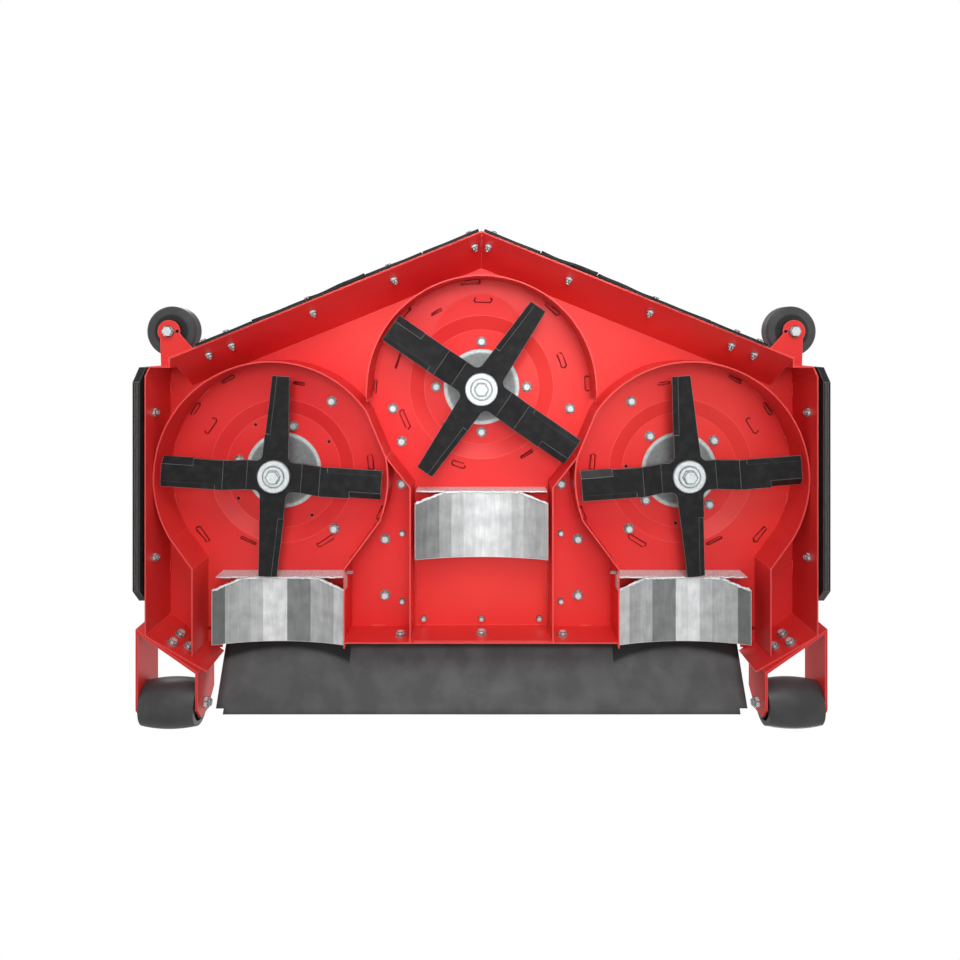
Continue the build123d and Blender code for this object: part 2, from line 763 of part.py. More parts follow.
for name, (x, y) in spindles.items():
    with BuildPart() as pulley:
        with BuildSketch(Plane(origin=(x, y, belt_z), x_dir=(1, 0, 0), z_dir=(0, -1, 0))):
            half = [
                (pulley_hub_r, pulley_hub_z - belt_z),
                (pulley_hub_r, -pulley_web / 2),
                (groove_bottom_r - pulley_web, -pulley_web / 2),
                (groove_bottom_r - pulley_web, -pulley_width / 2),
                (pulley_r, -pulley_width / 2),
                (pulley_r, -groove_half(pulley_r)),
                (groove_bottom_r, -groove_half(groove_bottom_r)),
            ]
            sleeve_z = upper_bearing_z + bearing_width + 0.4 - belt_z
            sleeve = [(shaft_r, sleeve_z), (pulley_hub_r - 5, sleeve_z), (pulley_hub_r - 5, half[0][1])]
            upper = [(r, -z) for r, z in reversed(half)]
            Polygon(*sleeve, *half, *upper, (shaft_r, upper[-1][1]), align=None)
        revolve(axis=Axis((x, y, 0), (0, 0, 1)))
        if name != "centre":
            with BuildSketch(Plane(origin=(x, y, pulley_top_z))):
                RegularPolygon(radius=hex_r(shaft_nut_af), side_count=6)
                Circle(shaft_r, mode=Mode.SUBTRACT)
            extrude(amount=shaft_nut)
    write(pulley.part, f"spindle_pulley_{name}")

# Idlers that press on the belt's back, each on a shouldered post
post_top_z = belt_z - 15.0
for name, side in sides.items():
    with BuildPart() as idler:
        with BuildSketch(Plane(origin=(side * idler_x, idler_y, belt_z), x_dir=(1, 0, 0), z_dir=(0, -1, 0))):
            flange_in = belt_width / 2 + 2 * belt_gap
            half = [
                (idler_bolt_r + run_gap, -14.0),
                (idler_hub_r, -14.0),
                (idler_hub_r, -5.0),
                (idler_r - 5.0, -5.0),
                (idler_r - 5.0, -flange_in - idler_flange),
                (idler_flange_r, -flange_in - idler_flange),
                (idler_flange_r, -flange_in),
                (idler_r, -flange_in),
            ]
            Polygon(*half, *[(r, -z) for r, z in reversed(half)], align=None)
        revolve(axis=Axis((side * idler_x, idler_y, 0), (0, 0, 1)))
    write(idler.part, f"idler_pulley_{name}")
with BuildPart() as idler_posts:
    for side in (1, -1):
        spot = (side * idler_x, idler_y)
        with BuildSketch(Plane(origin=(*spot, plate_top_z))):
            Circle(idler_hub_r)
        extrude(amount=post_top_z - plate_top_z)
        with BuildSketch(Plane(origin=(*spot, plate_z))):
            Circle(idler_bolt_r)
        extrude(amount=belt_z + 15.0 + m12_head + thread_end - plate_z)
        with BuildSketch(Plane(origin=(*spot, plate_z))):
            Circle(m12_washer_r)
        extrude(amount=-m12_washer)
        with BuildSketch(Plane(origin=(*spot, plate_z - m12_washer))):
            RegularPolygon(radius=hex_r(m12_af), side_count=6)
        extrude(amount=-m12_head)
        with BuildSketch(Plane(origin=(*spot, belt_z + 15.0))):
            RegularPolygon(radius=hex_r(m12_af), side_count=6)
        extrude(amount=m12_head)
write(idler_posts.part, "idler_posts")

# Drive belt: round the outside of the pulleys and behind the idlers
pulley_order = ["left", "right", "idler_right", "centre", "idler_left"]
idler_places = {"idler_left": (idler_x, idler_y), "idler_right": (-idler_x, idler_y)}


def belt_wheels(depth):
    """The belt's line this far in from its back."""
    wheels = []
    for key in pulley_order:
        if key in spindles:
            wheels.append((spindles[key], belt_outer_r - depth))
        else:
            wheels.append((idler_places[key], -(idler_r + belt_gap + depth)))
    return wheels


with BuildPart() as drive_belt:
    with BuildLine(Plane.XY.offset(belt_z)) as belt_back:
        belt_line(belt_wheels(0.0))
    start = belt_back.wires()[0] @ 0
    along = belt_back.wires()[0] % 0
    inward = Vector(-along.Y, along.X, 0)
    with BuildSketch(Plane(origin=start, x_dir=inward, z_dir=along)):
        Polygon(
            (0, -belt_width / 2),
            (belt_depth, -belt_inner_width / 2),
            (belt_depth, belt_inner_width / 2),
            (0, belt_width / 2),
            align=None,
        )
    sweep(path=belt_back.wires()[0])
write(drive_belt.part, "drive_belt")

# Strap over the centre pulley, with a foot on the deck at each end
with BuildPart() as gearbox_strap:
    inside = strap_half_length - strap
    foot_end = strap_half_length + strap_foot
    with BuildSketch(Plane(origin=(-strap_width / 2, centre_spindle_y, 0), x_dir=(0, 1, 0), z_dir=(1, 0, 0))):
        half = [
            (inside, strap_top_z - strap),
            (inside, plate_top_z),
            (foot_end, plate_top_z),
            (foot_end, plate_top_z + strap),
            (strap_half_length, plate_top_z + strap),
            (strap_half_length, strap_top_z),
        ]
        Polygon(*half, *[(-y, z) for y, z in reversed(half)], align=None)
    extrude(amount=strap_width)
    with BuildSketch(Plane(origin=(0, centre_spindle_y, strap_top_z))):
        Circle(strap_hole_r)
    extrude(amount=-strap, mode=Mode.SUBTRACT)
write(gearbox_strap.part, "gearbox_strap")

# Gearbox casting and its input shaft towards the tractor
input_z = strap_top_z + gearbox_base + input_z_offset
gearbox_rear_y = centre_spindle_y + gearbox_length / 2
with BuildPart() as gearbox:
    with BuildSketch(Plane(origin=(0, centre_spindle_y, strap_top_z))):
        Circle(gearbox_base_r)
    extrude(amount=gearbox_base)
    with BuildSketch(Plane(origin=(0, centre_spindle_y, strap_top_z + gearbox_base))):
        RectangleRounded(gearbox_width, gearbox_length, gearbox_corner_r)
    extrude(amount=gearbox_height)
    top_rim = gearbox.faces().sort_by(Axis.Z)[-1].edges()
    chamfer(top_rim, length=gearbox_base)
    with BuildSketch(Plane(origin=(0, gearbox_rear_y, input_z), x_dir=(-1, 0, 0), z_dir=(0, 1, 0))):
        Circle(input_boss_r)
    extrude(amount=input_boss)
    with BuildSketch(Plane(origin=(0, gearbox_rear_y + input_boss, input_z), x_dir=(-1, 0, 0), z_dir=(0, 1, 0))):
        Circle(input_r + run_gap)
    extrude(amount=-input_socket, mode=Mode.SUBTRACT)
    with BuildSketch(Plane(origin=(0, centre_spindle_y, strap_top_z))):
        Circle(shaft_r + turn_gap)
    extrude(amount=centre_shaft_top_z + turn_gap - strap_top_z, mode=Mode.SUBTRACT)
write(gearbox.part, "gearbox")
with BuildPart() as input_shaft:
    inner_y = gearbox_rear_y + input_boss - input_socket + turn_gap
    with BuildSketch(Plane(origin=(0, inner_y, input_z), x_dir=(-1, 0, 0), z_dir=(0, 1, 0))):
        Circle(input_r)
    extrude(amount=input_length + input_socket - turn_gap)
    with BuildSketch(Plane(origin=(0, gearbox_rear_y + input_boss + turn_gap, input_z), x_dir=(-1, 0, 0), z_dir=(0, 1, 0))):
        Circle(input_flange_r)
    extrude(amount=strap)
write(input_shaft.part, "input_shaft")

# Moulded covers over the belt, open towards the gearbox
cover_wall = 2.5
cover_top_z = 280.0
cover_edge_z = 197.0
cover_open_x = 100.0
cover_foot_r = 15.0
cover_pulley_r = 105.0
for name, side in sides.items():
    outline = [
        ((side_spindle_x, side_spindle_y), cover_pulley_r),
        ((idler_x, idler_y), 66.0),
        ((90.0, centre_spindle_y + 42.0), 60.0),
        ((90.0, side_spindle_y + 40.0), 60.0),
    ]
    with BuildPart() as cover:
        for inset, top, mode in ((0.0, cover_top_z, Mode.ADD), (cover_wall, cover_top_z - cover_wall, Mode.SUBTRACT)):
            with BuildSketch(Plane.XY.offset(cover_edge_z)):
                for (x, y), r in outline:
                    with Locations((side * x, y)):
                        Circle(r - inset)
                make_hull()
                with Locations((side * (cover_open_x - 100.0), side_spindle_y)):
                    Rectangle(200.0, 1000.0, mode=Mode.SUBTRACT)
            extrude(amount=top - cover_edge_z, mode=mode)
        for x, y in cover_bolts:
            spot = (side * x, centre_spindle_y + y)
            inward = 1 if spot[1] < side_spindle_y else -1
            with BuildSketch(Plane.XY.offset(cover_edge_z)):
                with Locations(spot):
                    Circle(cover_foot_r)
                with Locations((spot[0], spot[1] + inward * 24.0)):
                    Rectangle(2 * cover_foot_r, 48.0)
            extrude(amount=2 * cover_wall)
            with BuildSketch(Plane.XY.offset(plate_top_z)):
                with Locations(spot):
                    Circle(cover_foot_r)
            extrude(amount=cover_edge_z - plate_top_z)
            with BuildSketch(Plane.XY.offset(plate_top_z)):
                with Locations(spot):
                    Circle(m12_hole_r)
            extrude(amount=cover_edge_z + 2 * cover_wall - plate_top_z, mode=Mode.SUBTRACT)
    write(cover.part, f"belt_cover_{name}")

# Channel brackets that take the lift arms
hitch_sheet = 5.0
hitch_width = 66.0
hitch_front_y = centre_spindle_y + 352.0
hitch_rear_y = centre_spindle_y + 563.0
hitch_pin_y = (hitch_front_y + hitch_rear_y) / 2
hitch_pin_z = plate_top_z + 62.0
hitch_pin_r = 8.25
hitch_ear_r = 24.0
for name, side in sides.items():
    with BuildPart() as hitch:
        x = side * hitch_bolts[0][0]
        with BuildSketch(Plane(origin=(x, (hitch_front_y + hitch_rear_y) / 2, plate_top_z))):
            Rectangle(hitch_width, hitch_rear_y - hitch_front_y)
        extrude(amount=hitch_sheet)
        for edge in (x - hitch_width / 2, x + hitch_width / 2 - hitch_sheet):
            with BuildSketch(Plane.YZ.offset(edge)):
                Polygon(
                    (hitch_front_y, plate_top_z),
                    (hitch_rear_y, plate_top_z),
                    (hitch_rear_y, plate_top_z + 4 * hitch_sheet),
                    (hitch_pin_y + hitch_ear_r, hitch_pin_z),
                    (hitch_pin_y - hitch_ear_r, hitch_pin_z),
                    (hitch_front_y, plate_top_z + 4 * hitch_sheet),
                    align=None,
                )
                with Locations((hitch_pin_y, hitch_pin_z)):
                    Circle(hitch_ear_r)
                    Circle(hitch_pin_r, mode=Mode.SUBTRACT)
            extrude(amount=hitch_sheet)
        with BuildSketch(Plane.XY.offset(plate_top_z)):
            for bx, by in hitch_bolts:
                with Locations((side * bx, centre_spindle_y + by)):
                    Circle(m12_hole_r)
        extrude(amount=hitch_sheet, mode=Mode.SUBTRACT)
    write(hitch.part, f"hitch_bracket_{name}")

# Skid bars outside the skirts, grooved along their soles
skid_gap = 6.0
skid_thick = 16.0
skid_height = 80.0
skid_chamfer = 34.0
skid_front_y = centre_spindle_y - 56.0
skid_rear_y = centre_spindle_y + 501.0
skid_x = skirt_x + skid_gap
skid_recess = 11.0
skid_boss_r = 16.0
skid_groove = 1.6
for name, side in sides.items():
    with BuildPart() as skid:
        with BuildSketch(Plane.YZ.offset(side * skid_x)):
            Polygon(
                (skid_front_y, skid_height),
                (skid_front_y, skid_chamfer),
                (skid_front_y + skid_chamfer, 0),
                (skid_rear_y - skid_chamfer, 0),
                (skid_rear_y, skid_chamfer),
                (skid_rear_y, skid_height),
                align=None,
            )
        extrude(amount=side * skid_thick)
        with BuildSketch(Plane.XY):
            for groove in (0.34, 0.66):
                with Locations((side * (skid_x + groove * skid_thick), (skid_front_y + skid_rear_y) / 2)):
                    Rectangle(skid_groove, skid_rear_y - skid_front_y + 2)
        extrude(amount=skid_groove, mode=Mode.SUBTRACT)
        for spot in skid_bolt_spots:
            inner = Plane.YZ.offset(side * skirt_x)
            with BuildSketch(inner):
                with Locations((centre_spindle_y + spot, skid_bolt_z)):
                    Circle(skid_boss_r)
            extrude(amount=side * skid_gap)
            with BuildSketch(inner):
                with Locations((centre_spindle_y + spot, skid_bolt_z)):
                    Circle(m12_hole_r)
            extrude(amount=side * (skid_gap + skid_thick), mode=Mode.SUBTRACT)
            with BuildSketch(Plane.YZ.offset(side * (skid_x + skid_thick - skid_recess))):
                with Locations((centre_spindle_y + spot, skid_bolt_z)):
                    Circle(m12_washer_r + turn_gap)
            extrude(amount=side * skid_recess, mode=Mode.SUBTRACT)
    write(skid.part, f"skid_bar_{name}")

# Rear rollers and their folded brackets
roller_r = 57.5
roller_end_r = 51.0
roller_x = 679.0
roller_width = 130.0
roller_y = centre_spindle_y + 754.6
roller_hub_r = 17.0
roller_recess_r = 40.0
roller_recess = 18.0
axle_r = 8.0
axle_hole_r = 8.5
bracket_sheet = 6.0
bracket_low_z = 15.0
bracket_high_z = 125.0
inner_arm_x = roller_x - 6.0
outer_arm_x = roller_x + roller_width + 5.0
arm_reach = 27.0
for name, side in sides.items():
    with BuildPart() as roller:
        middle = roller_x + roller_width / 2
        with BuildSketch(Plane(origin=(side * middle, roller_y, roller_r))):
            with BuildLine():
                w = roller_width / 2
                Polyline(
                    (-w, roller_end_r),
                    (-w, roller_recess_r),
                    (-w + roller_recess, roller_recess_r),
                    (-w + roller_recess, roller_hub_r),
                    (-w, roller_hub_r),
                    (-w, axle_r + run_gap),
                    (w, axle_r + run_gap),
                    (w, roller_hub_r),
                    (w - roller_recess, roller_hub_r),
                    (w - roller_recess, roller_recess_r),
                    (w, roller_recess_r),
                    (w, roller_end_r),
                )
                ThreePointArc((-w, roller_end_r), (0, roller_r), (w, roller_end_r))
            make_face()
        revolve(axis=Axis((0, roller_y, roller_r), (1, 0, 0)))
    write(roller.part, f"roller_{name}")
    with BuildPart() as bracket:
        web_step = bracket_sheet / 2 / cos(radians(corner_plate_angle))

        def web_y(x):
            """The web's middle line, against the outside of the corner plate."""
            return skirt_rear_y + (skirt_x - x) * corner_plate_slope + web_step

        with BuildSketch(Plane.XY.offset(bracket_low_z)):
            with BuildLine():
                Polyline(
                    (side * inner_arm_x, roller_y + arm_reach + bracket_sheet / 2),
                    (side * inner_arm_x, web_y(inner_arm_x)),
                    (side * outer_arm_x, web_y(outer_arm_x)),
                    (side * outer_arm_x, roller_y + arm_reach + bracket_sheet / 2),
                )
                offset(amount=bracket_sheet / 2, kind=Kind.INTERSECTION)
            make_face()
        extrude(amount=bracket_high_z - bracket_low_z)
        arm_end_y = roller_y + arm_reach
        with BuildSketch(Plane.YZ.offset(side * (inner_arm_x - bracket_sheet))):
            for edge_z, level_z, back in ((bracket_high_z + 1, 82.0, 12.0), (bracket_low_z - 1, 38.0, 2.0)):
                Polygon(
                    (roller_y - back, edge_z),
                    (arm_end_y, level_z),
                    (arm_end_y + bracket_sheet, level_z),
                    (arm_end_y + bracket_sheet, edge_z),
                    align=None,
                )
            with Locations((arm_end_y + bracket_sheet, roller_r)):
                Rectangle(2 * bracket_sheet, 2 * bracket_high_z)
        extrude(amount=side * (outer_arm_x - inner_arm_x + 2 * bracket_sheet), mode=Mode.SUBTRACT)
        with BuildSketch(Plane.YZ.offset(side * (inner_arm_x - bracket_sheet))):
            with Locations((roller_y, roller_r)):
                Circle(axle_hole_r)
        extrude(amount=side * (outer_arm_x - inner_arm_x + 2 * bracket_sheet), mode=Mode.SUBTRACT)
        b = radians(corner_plate_angle)
        face = Plane(
            origin=(side * skirt_x, skirt_rear_y, 0),
            x_dir=(-side * cos(b), sin(b), 0),
            z_dir=(side * sin(b), cos(b), 0),
        )
        for spot, height in corner_bolt_spots:
            with BuildSketch(face):
                with Locations((spot, side * height)):
                    Circle(m12_hole_r)
            extrude(amount=bracket_sheet, mode=Mode.SUBTRACT)
    write(bracket.part, f"roller_bracket_{name}")

# Front corner wheels between two plates welded to the deck's corner
wheel_r = 61.0
wheel_x = 757.0
wheel_y = centre_spindle_y - 142.0
wheel_z = 95.0
wheel_width = 40.0
wheel_hub_r = 18.0
wheel_plate = 4.0
wheel_plate_low_z = 60.0
wheel_plate_high_z = 126.0
wheel_nose_r = 27.0
wheel_base_x = 681.0
wheel_flange_x = 776.0
for name, side in sides.items():
    with BuildPart() as wheel:
        with BuildSketch(Plane(origin=(side * wheel_x, wheel_y, wheel_z - wheel_width / 2))):
            Circle(wheel_r)
        extrude(amount=wheel_width)
        chamfer(wheel.edges().filter_by(GeomType.CIRCLE), length=5.0)
        with BuildSketch(Plane(origin=(side * wheel_x, wheel_y, wheel_plate_low_z + wheel_plate + turn_gap))):
            Circle(wheel_hub_r)
        extrude(amount=wheel_plate_high_z - wheel_plate_low_z - wheel_plate - 2 * turn_gap)
        with BuildSketch(Plane(origin=(side * wheel_x, wheel_y, wheel_plate_low_z))):
            Circle(axle_r + run_gap)
        extrude(amount=wheel_plate_high_z - wheel_plate_low_z, mode=Mode.SUBTRACT)
    write(wheel.part, f"corner_wheel_{name}")
    with BuildPart() as wheel_bracket:
        for base_z in (wheel_plate_low_z, wheel_plate_high_z):
            face_y = nose_y + apron_setback_at(base_z) / cos(radians(apron_angle))
            meet_x = (flange_y - face_y) / apron_slope
            edge = [(wheel_base_x, face_y + wheel_base_x * apron_slope)]
            if meet_x > wheel_base_x:
                edge.append((meet_x, flange_y))
            else:
                edge_x = corner_x - 0.1
                edge += [(edge_x, face_y + edge_x * apron_slope), (edge_x, flange_y)]
            edge += [
                (wheel_flange_x, flange_y),
                (wheel_x + 0.8 * wheel_nose_r, wheel_y),
                (wheel_x - 0.8 * wheel_nose_r, wheel_y),
            ]
            with BuildSketch(Plane.XY.offset(base_z)):
                Polygon(*[(side * x, y) for x, y in edge], align=None)
                with Locations((side * wheel_x, wheel_y)):
                    Circle(wheel_nose_r)
                with Locations((side * wheel_x, wheel_y)):
                    Circle(axle_hole_r, mode=Mode.SUBTRACT)
                with Locations((side * (wheel_x - 20.0), wheel_y)):
                    Circle(m8_hole_r, mode=Mode.SUBTRACT)
            extrude(amount=wheel_plate)
    write(wheel_bracket.part, f"corner_wheel_bracket_{name}")

# Long bolts that the rollers and corner wheels turn on
axle_af = 24.0
axle_head = 10.0
axle_nut = 12.0
with BuildPart() as axle_bolts:
    for side in (1, -1):
        reach = outer_arm_x + bracket_sheet / 2
        grip = outer_arm_x - inner_arm_x + bracket_sheet
        outer_face = Plane(origin=(side * reach, roller_y, roller_r), x_dir=(0, 1, 0), z_dir=(-side, 0, 0))
        with Locations(*on_plane(outer_face, [(0, 0)])):
            add(bolt(grip, axle_r, axle_af, axle_head, 14.0, 2.5, axle_nut))
        under = Plane(origin=(side * wheel_x, wheel_y, wheel_plate_low_z))
        grip = wheel_plate_high_z + wheel_plate - wheel_plate_low_z
        with Locations(*on_plane(under, [(0, 0)])):
            add(bolt(grip, axle_r, axle_af, axle_head, 14.0, 2.5, axle_nut))
write(axle_bolts.part, "axle_bolts")

# Front flaps: rubber segments behind a steel bar, on each leaning apron
flap_sheet = 5.0
flap_count = 5
flap_low_z = 8.0
flap_high_z = 72.0
flap_end = 728.0
flap_start = 6.0
flap_gap = 2.5
bar_sheet = 3.0
bar_height = 30.0
with BuildPart() as front_flaps:
    pitch = (flap_end - flap_start) / flap_count
    for side in (1, -1):
        for i in range(flap_count):
            first = flap_start + i * pitch
            last = first + pitch - flap_gap
            with BuildSketch(Plane.XY.offset(flap_low_z)):
                corners = [(first, 0), (last, 0), (last, flap_sheet), (first, flap_sheet)]
                Polygon(*[along_apron(side, d, 0, o)[:2] for d, o in corners], align=None)
            extrude(amount=flap_high_z - flap_low_z)
    for side in (1, -1):
        for spot in flap_bolt_spots:
            a = radians(apron_angle)
            hole = Plane(
                origin=along_apron(side, spot, flap_bolt_height),
                x_dir=(0, 0, 1),
                z_dir=(side * sin(a), -cos(a), 0),
            )
            with BuildSketch(hole):
                Circle(m8_hole_r)
            extrude(amount=flap_sheet, mode=Mode.SUBTRACT)
write(front_flaps.part, "front_flaps")
with BuildPart() as front_flap_bars:
    for side in (1, -1):
        with BuildSketch(Plane.XY.offset(flap_high_z - bar_height)):
            corners = [
                (flap_start, flap_sheet),
                (flap_end - flap_gap, flap_sheet),
                (flap_end - flap_gap, flap_sheet + bar_sheet),
                (flap_start, flap_sheet + bar_sheet),
            ]
            Polygon(*[along_apron(side, d, 0, o)[:2] for d, o in corners], align=None)
        extrude(amount=bar_height)
        for spot in flap_bolt_spots:
            a = radians(apron_angle)
            hole = Plane(
                origin=along_apron(side, spot, flap_bolt_height, flap_sheet),
                x_dir=(0, 0, 1),
                z_dir=(side * sin(a), -cos(a), 0),
            )
            with BuildSketch(hole):
                Circle(m8_hole_r)
            extrude(amount=bar_sheet, mode=Mode.SUBTRACT)
write(front_flap_bars.part, "front_flap_bars")

# Rear flap and its clamp bar on the sloping lip
rear_flap_length = 184.0
rear_flap_half = 644.0
rear_flap_corner = 20.0
clamp_sheet = 4.0
clamp_width = 24.0
with BuildPart() as rear_flap:
    with BuildSketch(lip_face):
        Polygon(
            (-rear_flap_half, 1),
            (rear_flap_half, 1),
            (rear_flap_half, rear_flap_length - rear_flap_corner),
            (rear_flap_half - rear_flap_corner, rear_flap_length),
            (rear_flap_corner - rear_flap_half, rear_flap_length),
            (-rear_flap_half, rear_flap_length - rear_flap_corner),
            align=None,
        )
        for spot in rear_flap_spots:
            with Locations((spot, lip_length / 2)):
                Circle(m8_hole_r, mode=Mode.SUBTRACT)
    extrude(amount=flap_sheet)
write(rear_flap.part, "rear_flap")
with BuildPart() as rear_flap_bar:
    with BuildSketch(lip_face.offset(flap_sheet)):
        with Locations((0, 1 + clamp_width / 2)):
            Rectangle(2 * rear_flap_half - 8, clamp_width)
        for spot in rear_flap_spots:
            with Locations((spot, lip_length / 2)):
                Circle(m8_hole_r, mode=Mode.SUBTRACT)
    extrude(amount=clamp_sheet)
write(rear_flap_bar.part, "rear_flap_bar")

# M12 bolts
m12 = (m12_shank_r, m12_af, m12_head, m12_washer_r, m12_washer, m12_head)
with BuildPart() as m12_bolts:
    under_plate = Plane.XY.offset(plate_z)
    with Locations(*on_plane(under_plate, on_deck(cover_bolts))):
        add(bolt(cover_edge_z + 2 * cover_wall - plate_z, *m12))
    tension_spot = (tension_bolt[0], centre_spindle_y + tension_bolt[1])
    with Locations(*on_plane(under_plate, on_deck(spacer_bolts) + [tension_spot])):
        add(bolt(sheet, *m12))
    with Locations(*on_plane(under_plate, on_deck(hitch_bolts))):
        add(bolt(sheet + hitch_sheet, *m12))
    for name, (x, y) in spindles.items():
        turns = [radians(housing_turn[name] + 90 * i) for i in range(4)]
        spots = [(x + housing_bolt_r * cos(t), y + housing_bolt_r * sin(t)) for t in turns]
        with Locations(*on_plane(Plane.XY.offset(dish_floor_z), spots)):
            add(bolt(sheet + housing_flange, *m12))
    wall_face = Plane(origin=(0, rear_wall_y - sheet / 2, 0), x_dir=(-1, 0, 0), z_dir=(0, 1, 0))
    with Locations(*on_plane(wall_face, rear_wall_bolts[1:])):
        add(bolt(sheet, *m12))
    with Locations(*on_plane(wall_face.offset(-sheet), rear_wall_bolts[:1])):
        add(bolt(2 * sheet, *m12))
    for side in (1, -1):
        b = radians(corner_plate_angle)
        inside = Plane(
            origin=(side * skirt_x, skirt_rear_y, 0),
            x_dir=(-side * cos(b), sin(b), 0),
            z_dir=(side * sin(b), cos(b), 0),
        ).offset(-sheet)
        spots = [(spot, side * height) for spot, height in corner_bolt_spots]
        with Locations(*on_plane(inside, spots)):
            add(bolt(sheet + bracket_sheet, *m12))
        recess = skid_x + skid_thick - skid_recess + m12_washer
        outside = Plane(origin=(side * recess, centre_spindle_y, 0), x_dir=(0, 1, 0), z_dir=(-side, 0, 0))
        spots = [(spot, -side * skid_bolt_z) for spot in skid_bolt_spots]
        with Locations(*on_plane(outside, spots)):
            add(bolt(recess - skirt_x + sheet, *m12))
write(m12_bolts.part, "m12_bolts")

# M8 bolts. Those of the front flaps end on a taper washer against the leaning apron.
m8 = (m8_shank_r, m8_af, m8_head, m8_washer_r, m8_washer, m8_head)
flap_grip = flap_sheet + bar_sheet + apron_setback_at(flap_bolt_height) + apron_wall
apron_lean = apron_setback / apron_height
taper = (m8_washer_r + 1) * apron_lean
with BuildPart() as flap_bolt:
    with BuildSketch(Plane.XY.offset(flap_grip - taper)):
        Circle(m8_washer_r)
    extrude(amount=2 * taper)
    with BuildSketch(Plane.XZ.offset(m8_washer_r)):
        far = 2 * m8_washer_r
        Polygon(
            (-far, flap_grip - far * apron_lean),
            (far, flap_grip + far * apron_lean),
            (far, 0),
            (-far, 0),
            align=None,
        )
    extrude(amount=-far, mode=Mode.SUBTRACT)
    add(bolt(flap_grip + taper, *m8))
with BuildPart() as m8_bolts:
    with Locations(*on_plane(Plane.XY.offset(plate_z), on_deck(small_bolts))):
        add(bolt(sheet, *m8))
    with Locations(*on_plane(Plane.XY.offset(plate_z - sheet), [(x, centre_spindle_y + y) for x, y in liner_bolts])):
        add(bolt(2 * sheet, *m8))
    top_face = lip_face.offset(flap_sheet + clamp_sheet)
    through_lip = Plane(origin=top_face.origin, x_dir=(-1, 0, 0), z_dir=-lip_face.z_dir)
    with Locations(*on_plane(through_lip, [(spot, lip_length / 2) for spot in rear_flap_spots])):
        add(bolt(flap_sheet + clamp_sheet + sheet, *m8))
    for side in (1, -1):
        for spot in flap_bolt_spots:
            a = radians(apron_angle)
            inward = Plane(
                origin=along_apron(side, spot, flap_bolt_height, flap_sheet + bar_sheet),
                x_dir=(0, 0, 1),
                z_dir=(-side * sin(a), cos(a), 0),
            )
            with Locations(inward.location):
                add(flap_bolt.part)
write(m8_bolts.part, "m8_bolts")

# Small catch on each chute's inner wall
catch_y = centre_spindle_y + 446.0
catch_z = 62.0
with BuildPart() as chute_catches:
    for side in (1, -1):
        face_x = side * (chute_inner_x - sheet / 2)
        with BuildSketch(Plane.YZ.offset(face_x)):
            with Locations((catch_y + 14.0, catch_z)):
                Rectangle(42.0, 22.0)
        extrude(amount=-side * sheet)
        with BuildSketch(Plane.XY.offset(catch_z - 6.0)):
            with Locations((face_x - side * 9.0, catch_y - 4.0)):
                Rectangle(18.0, 4.0)
        extrude(amount=12.0)
write(chute_catches.part, "chute_catches")
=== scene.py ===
# %% [markdown]
# # The mower deck, seen from below
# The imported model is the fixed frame. This file gives every part of it a finish and adds the
# small things that a solid model leaves out, such as weld beads and the bend of a rubber flap.

# %% Load the frame and keep the size it has as plain solids
import bpy
import json
from math import atan2, cos, degrees, hypot, pi, radians, sin
from mathutils import Matrix, Vector
from mathutils.bvhtree import BVHTree


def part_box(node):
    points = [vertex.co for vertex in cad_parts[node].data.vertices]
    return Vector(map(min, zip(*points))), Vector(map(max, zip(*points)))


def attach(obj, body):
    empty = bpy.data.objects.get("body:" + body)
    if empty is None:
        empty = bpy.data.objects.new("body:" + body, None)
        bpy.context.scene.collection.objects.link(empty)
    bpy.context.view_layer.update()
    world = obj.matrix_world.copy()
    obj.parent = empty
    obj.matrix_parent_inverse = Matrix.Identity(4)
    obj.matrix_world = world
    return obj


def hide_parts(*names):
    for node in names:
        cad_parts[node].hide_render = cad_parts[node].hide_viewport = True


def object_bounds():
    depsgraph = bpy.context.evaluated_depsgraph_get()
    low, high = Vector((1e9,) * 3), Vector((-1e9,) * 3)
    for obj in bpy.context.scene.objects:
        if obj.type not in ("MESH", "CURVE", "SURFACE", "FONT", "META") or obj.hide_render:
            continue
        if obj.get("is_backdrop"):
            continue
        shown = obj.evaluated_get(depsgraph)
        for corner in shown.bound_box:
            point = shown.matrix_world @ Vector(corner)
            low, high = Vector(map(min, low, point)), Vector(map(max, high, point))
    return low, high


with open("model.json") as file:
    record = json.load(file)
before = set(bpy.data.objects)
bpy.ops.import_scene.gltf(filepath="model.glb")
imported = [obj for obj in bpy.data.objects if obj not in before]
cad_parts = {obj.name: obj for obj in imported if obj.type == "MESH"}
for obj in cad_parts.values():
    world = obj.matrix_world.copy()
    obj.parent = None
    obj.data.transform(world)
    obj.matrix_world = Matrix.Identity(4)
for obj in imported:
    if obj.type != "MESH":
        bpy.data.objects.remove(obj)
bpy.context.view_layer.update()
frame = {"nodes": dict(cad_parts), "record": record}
scene = bpy.context.scene

# %% [markdown]
# The photograph was taken from straight below, with the deck's front at the top. The spindle
# bolts, which hang lower than the plate, show how far away the lens was: 1.75 m under the
# ground line. The picture's middle lies a little behind the camera's own axis, so the lens is
# shifted instead of tilted, which keeps the plate square to the picture.

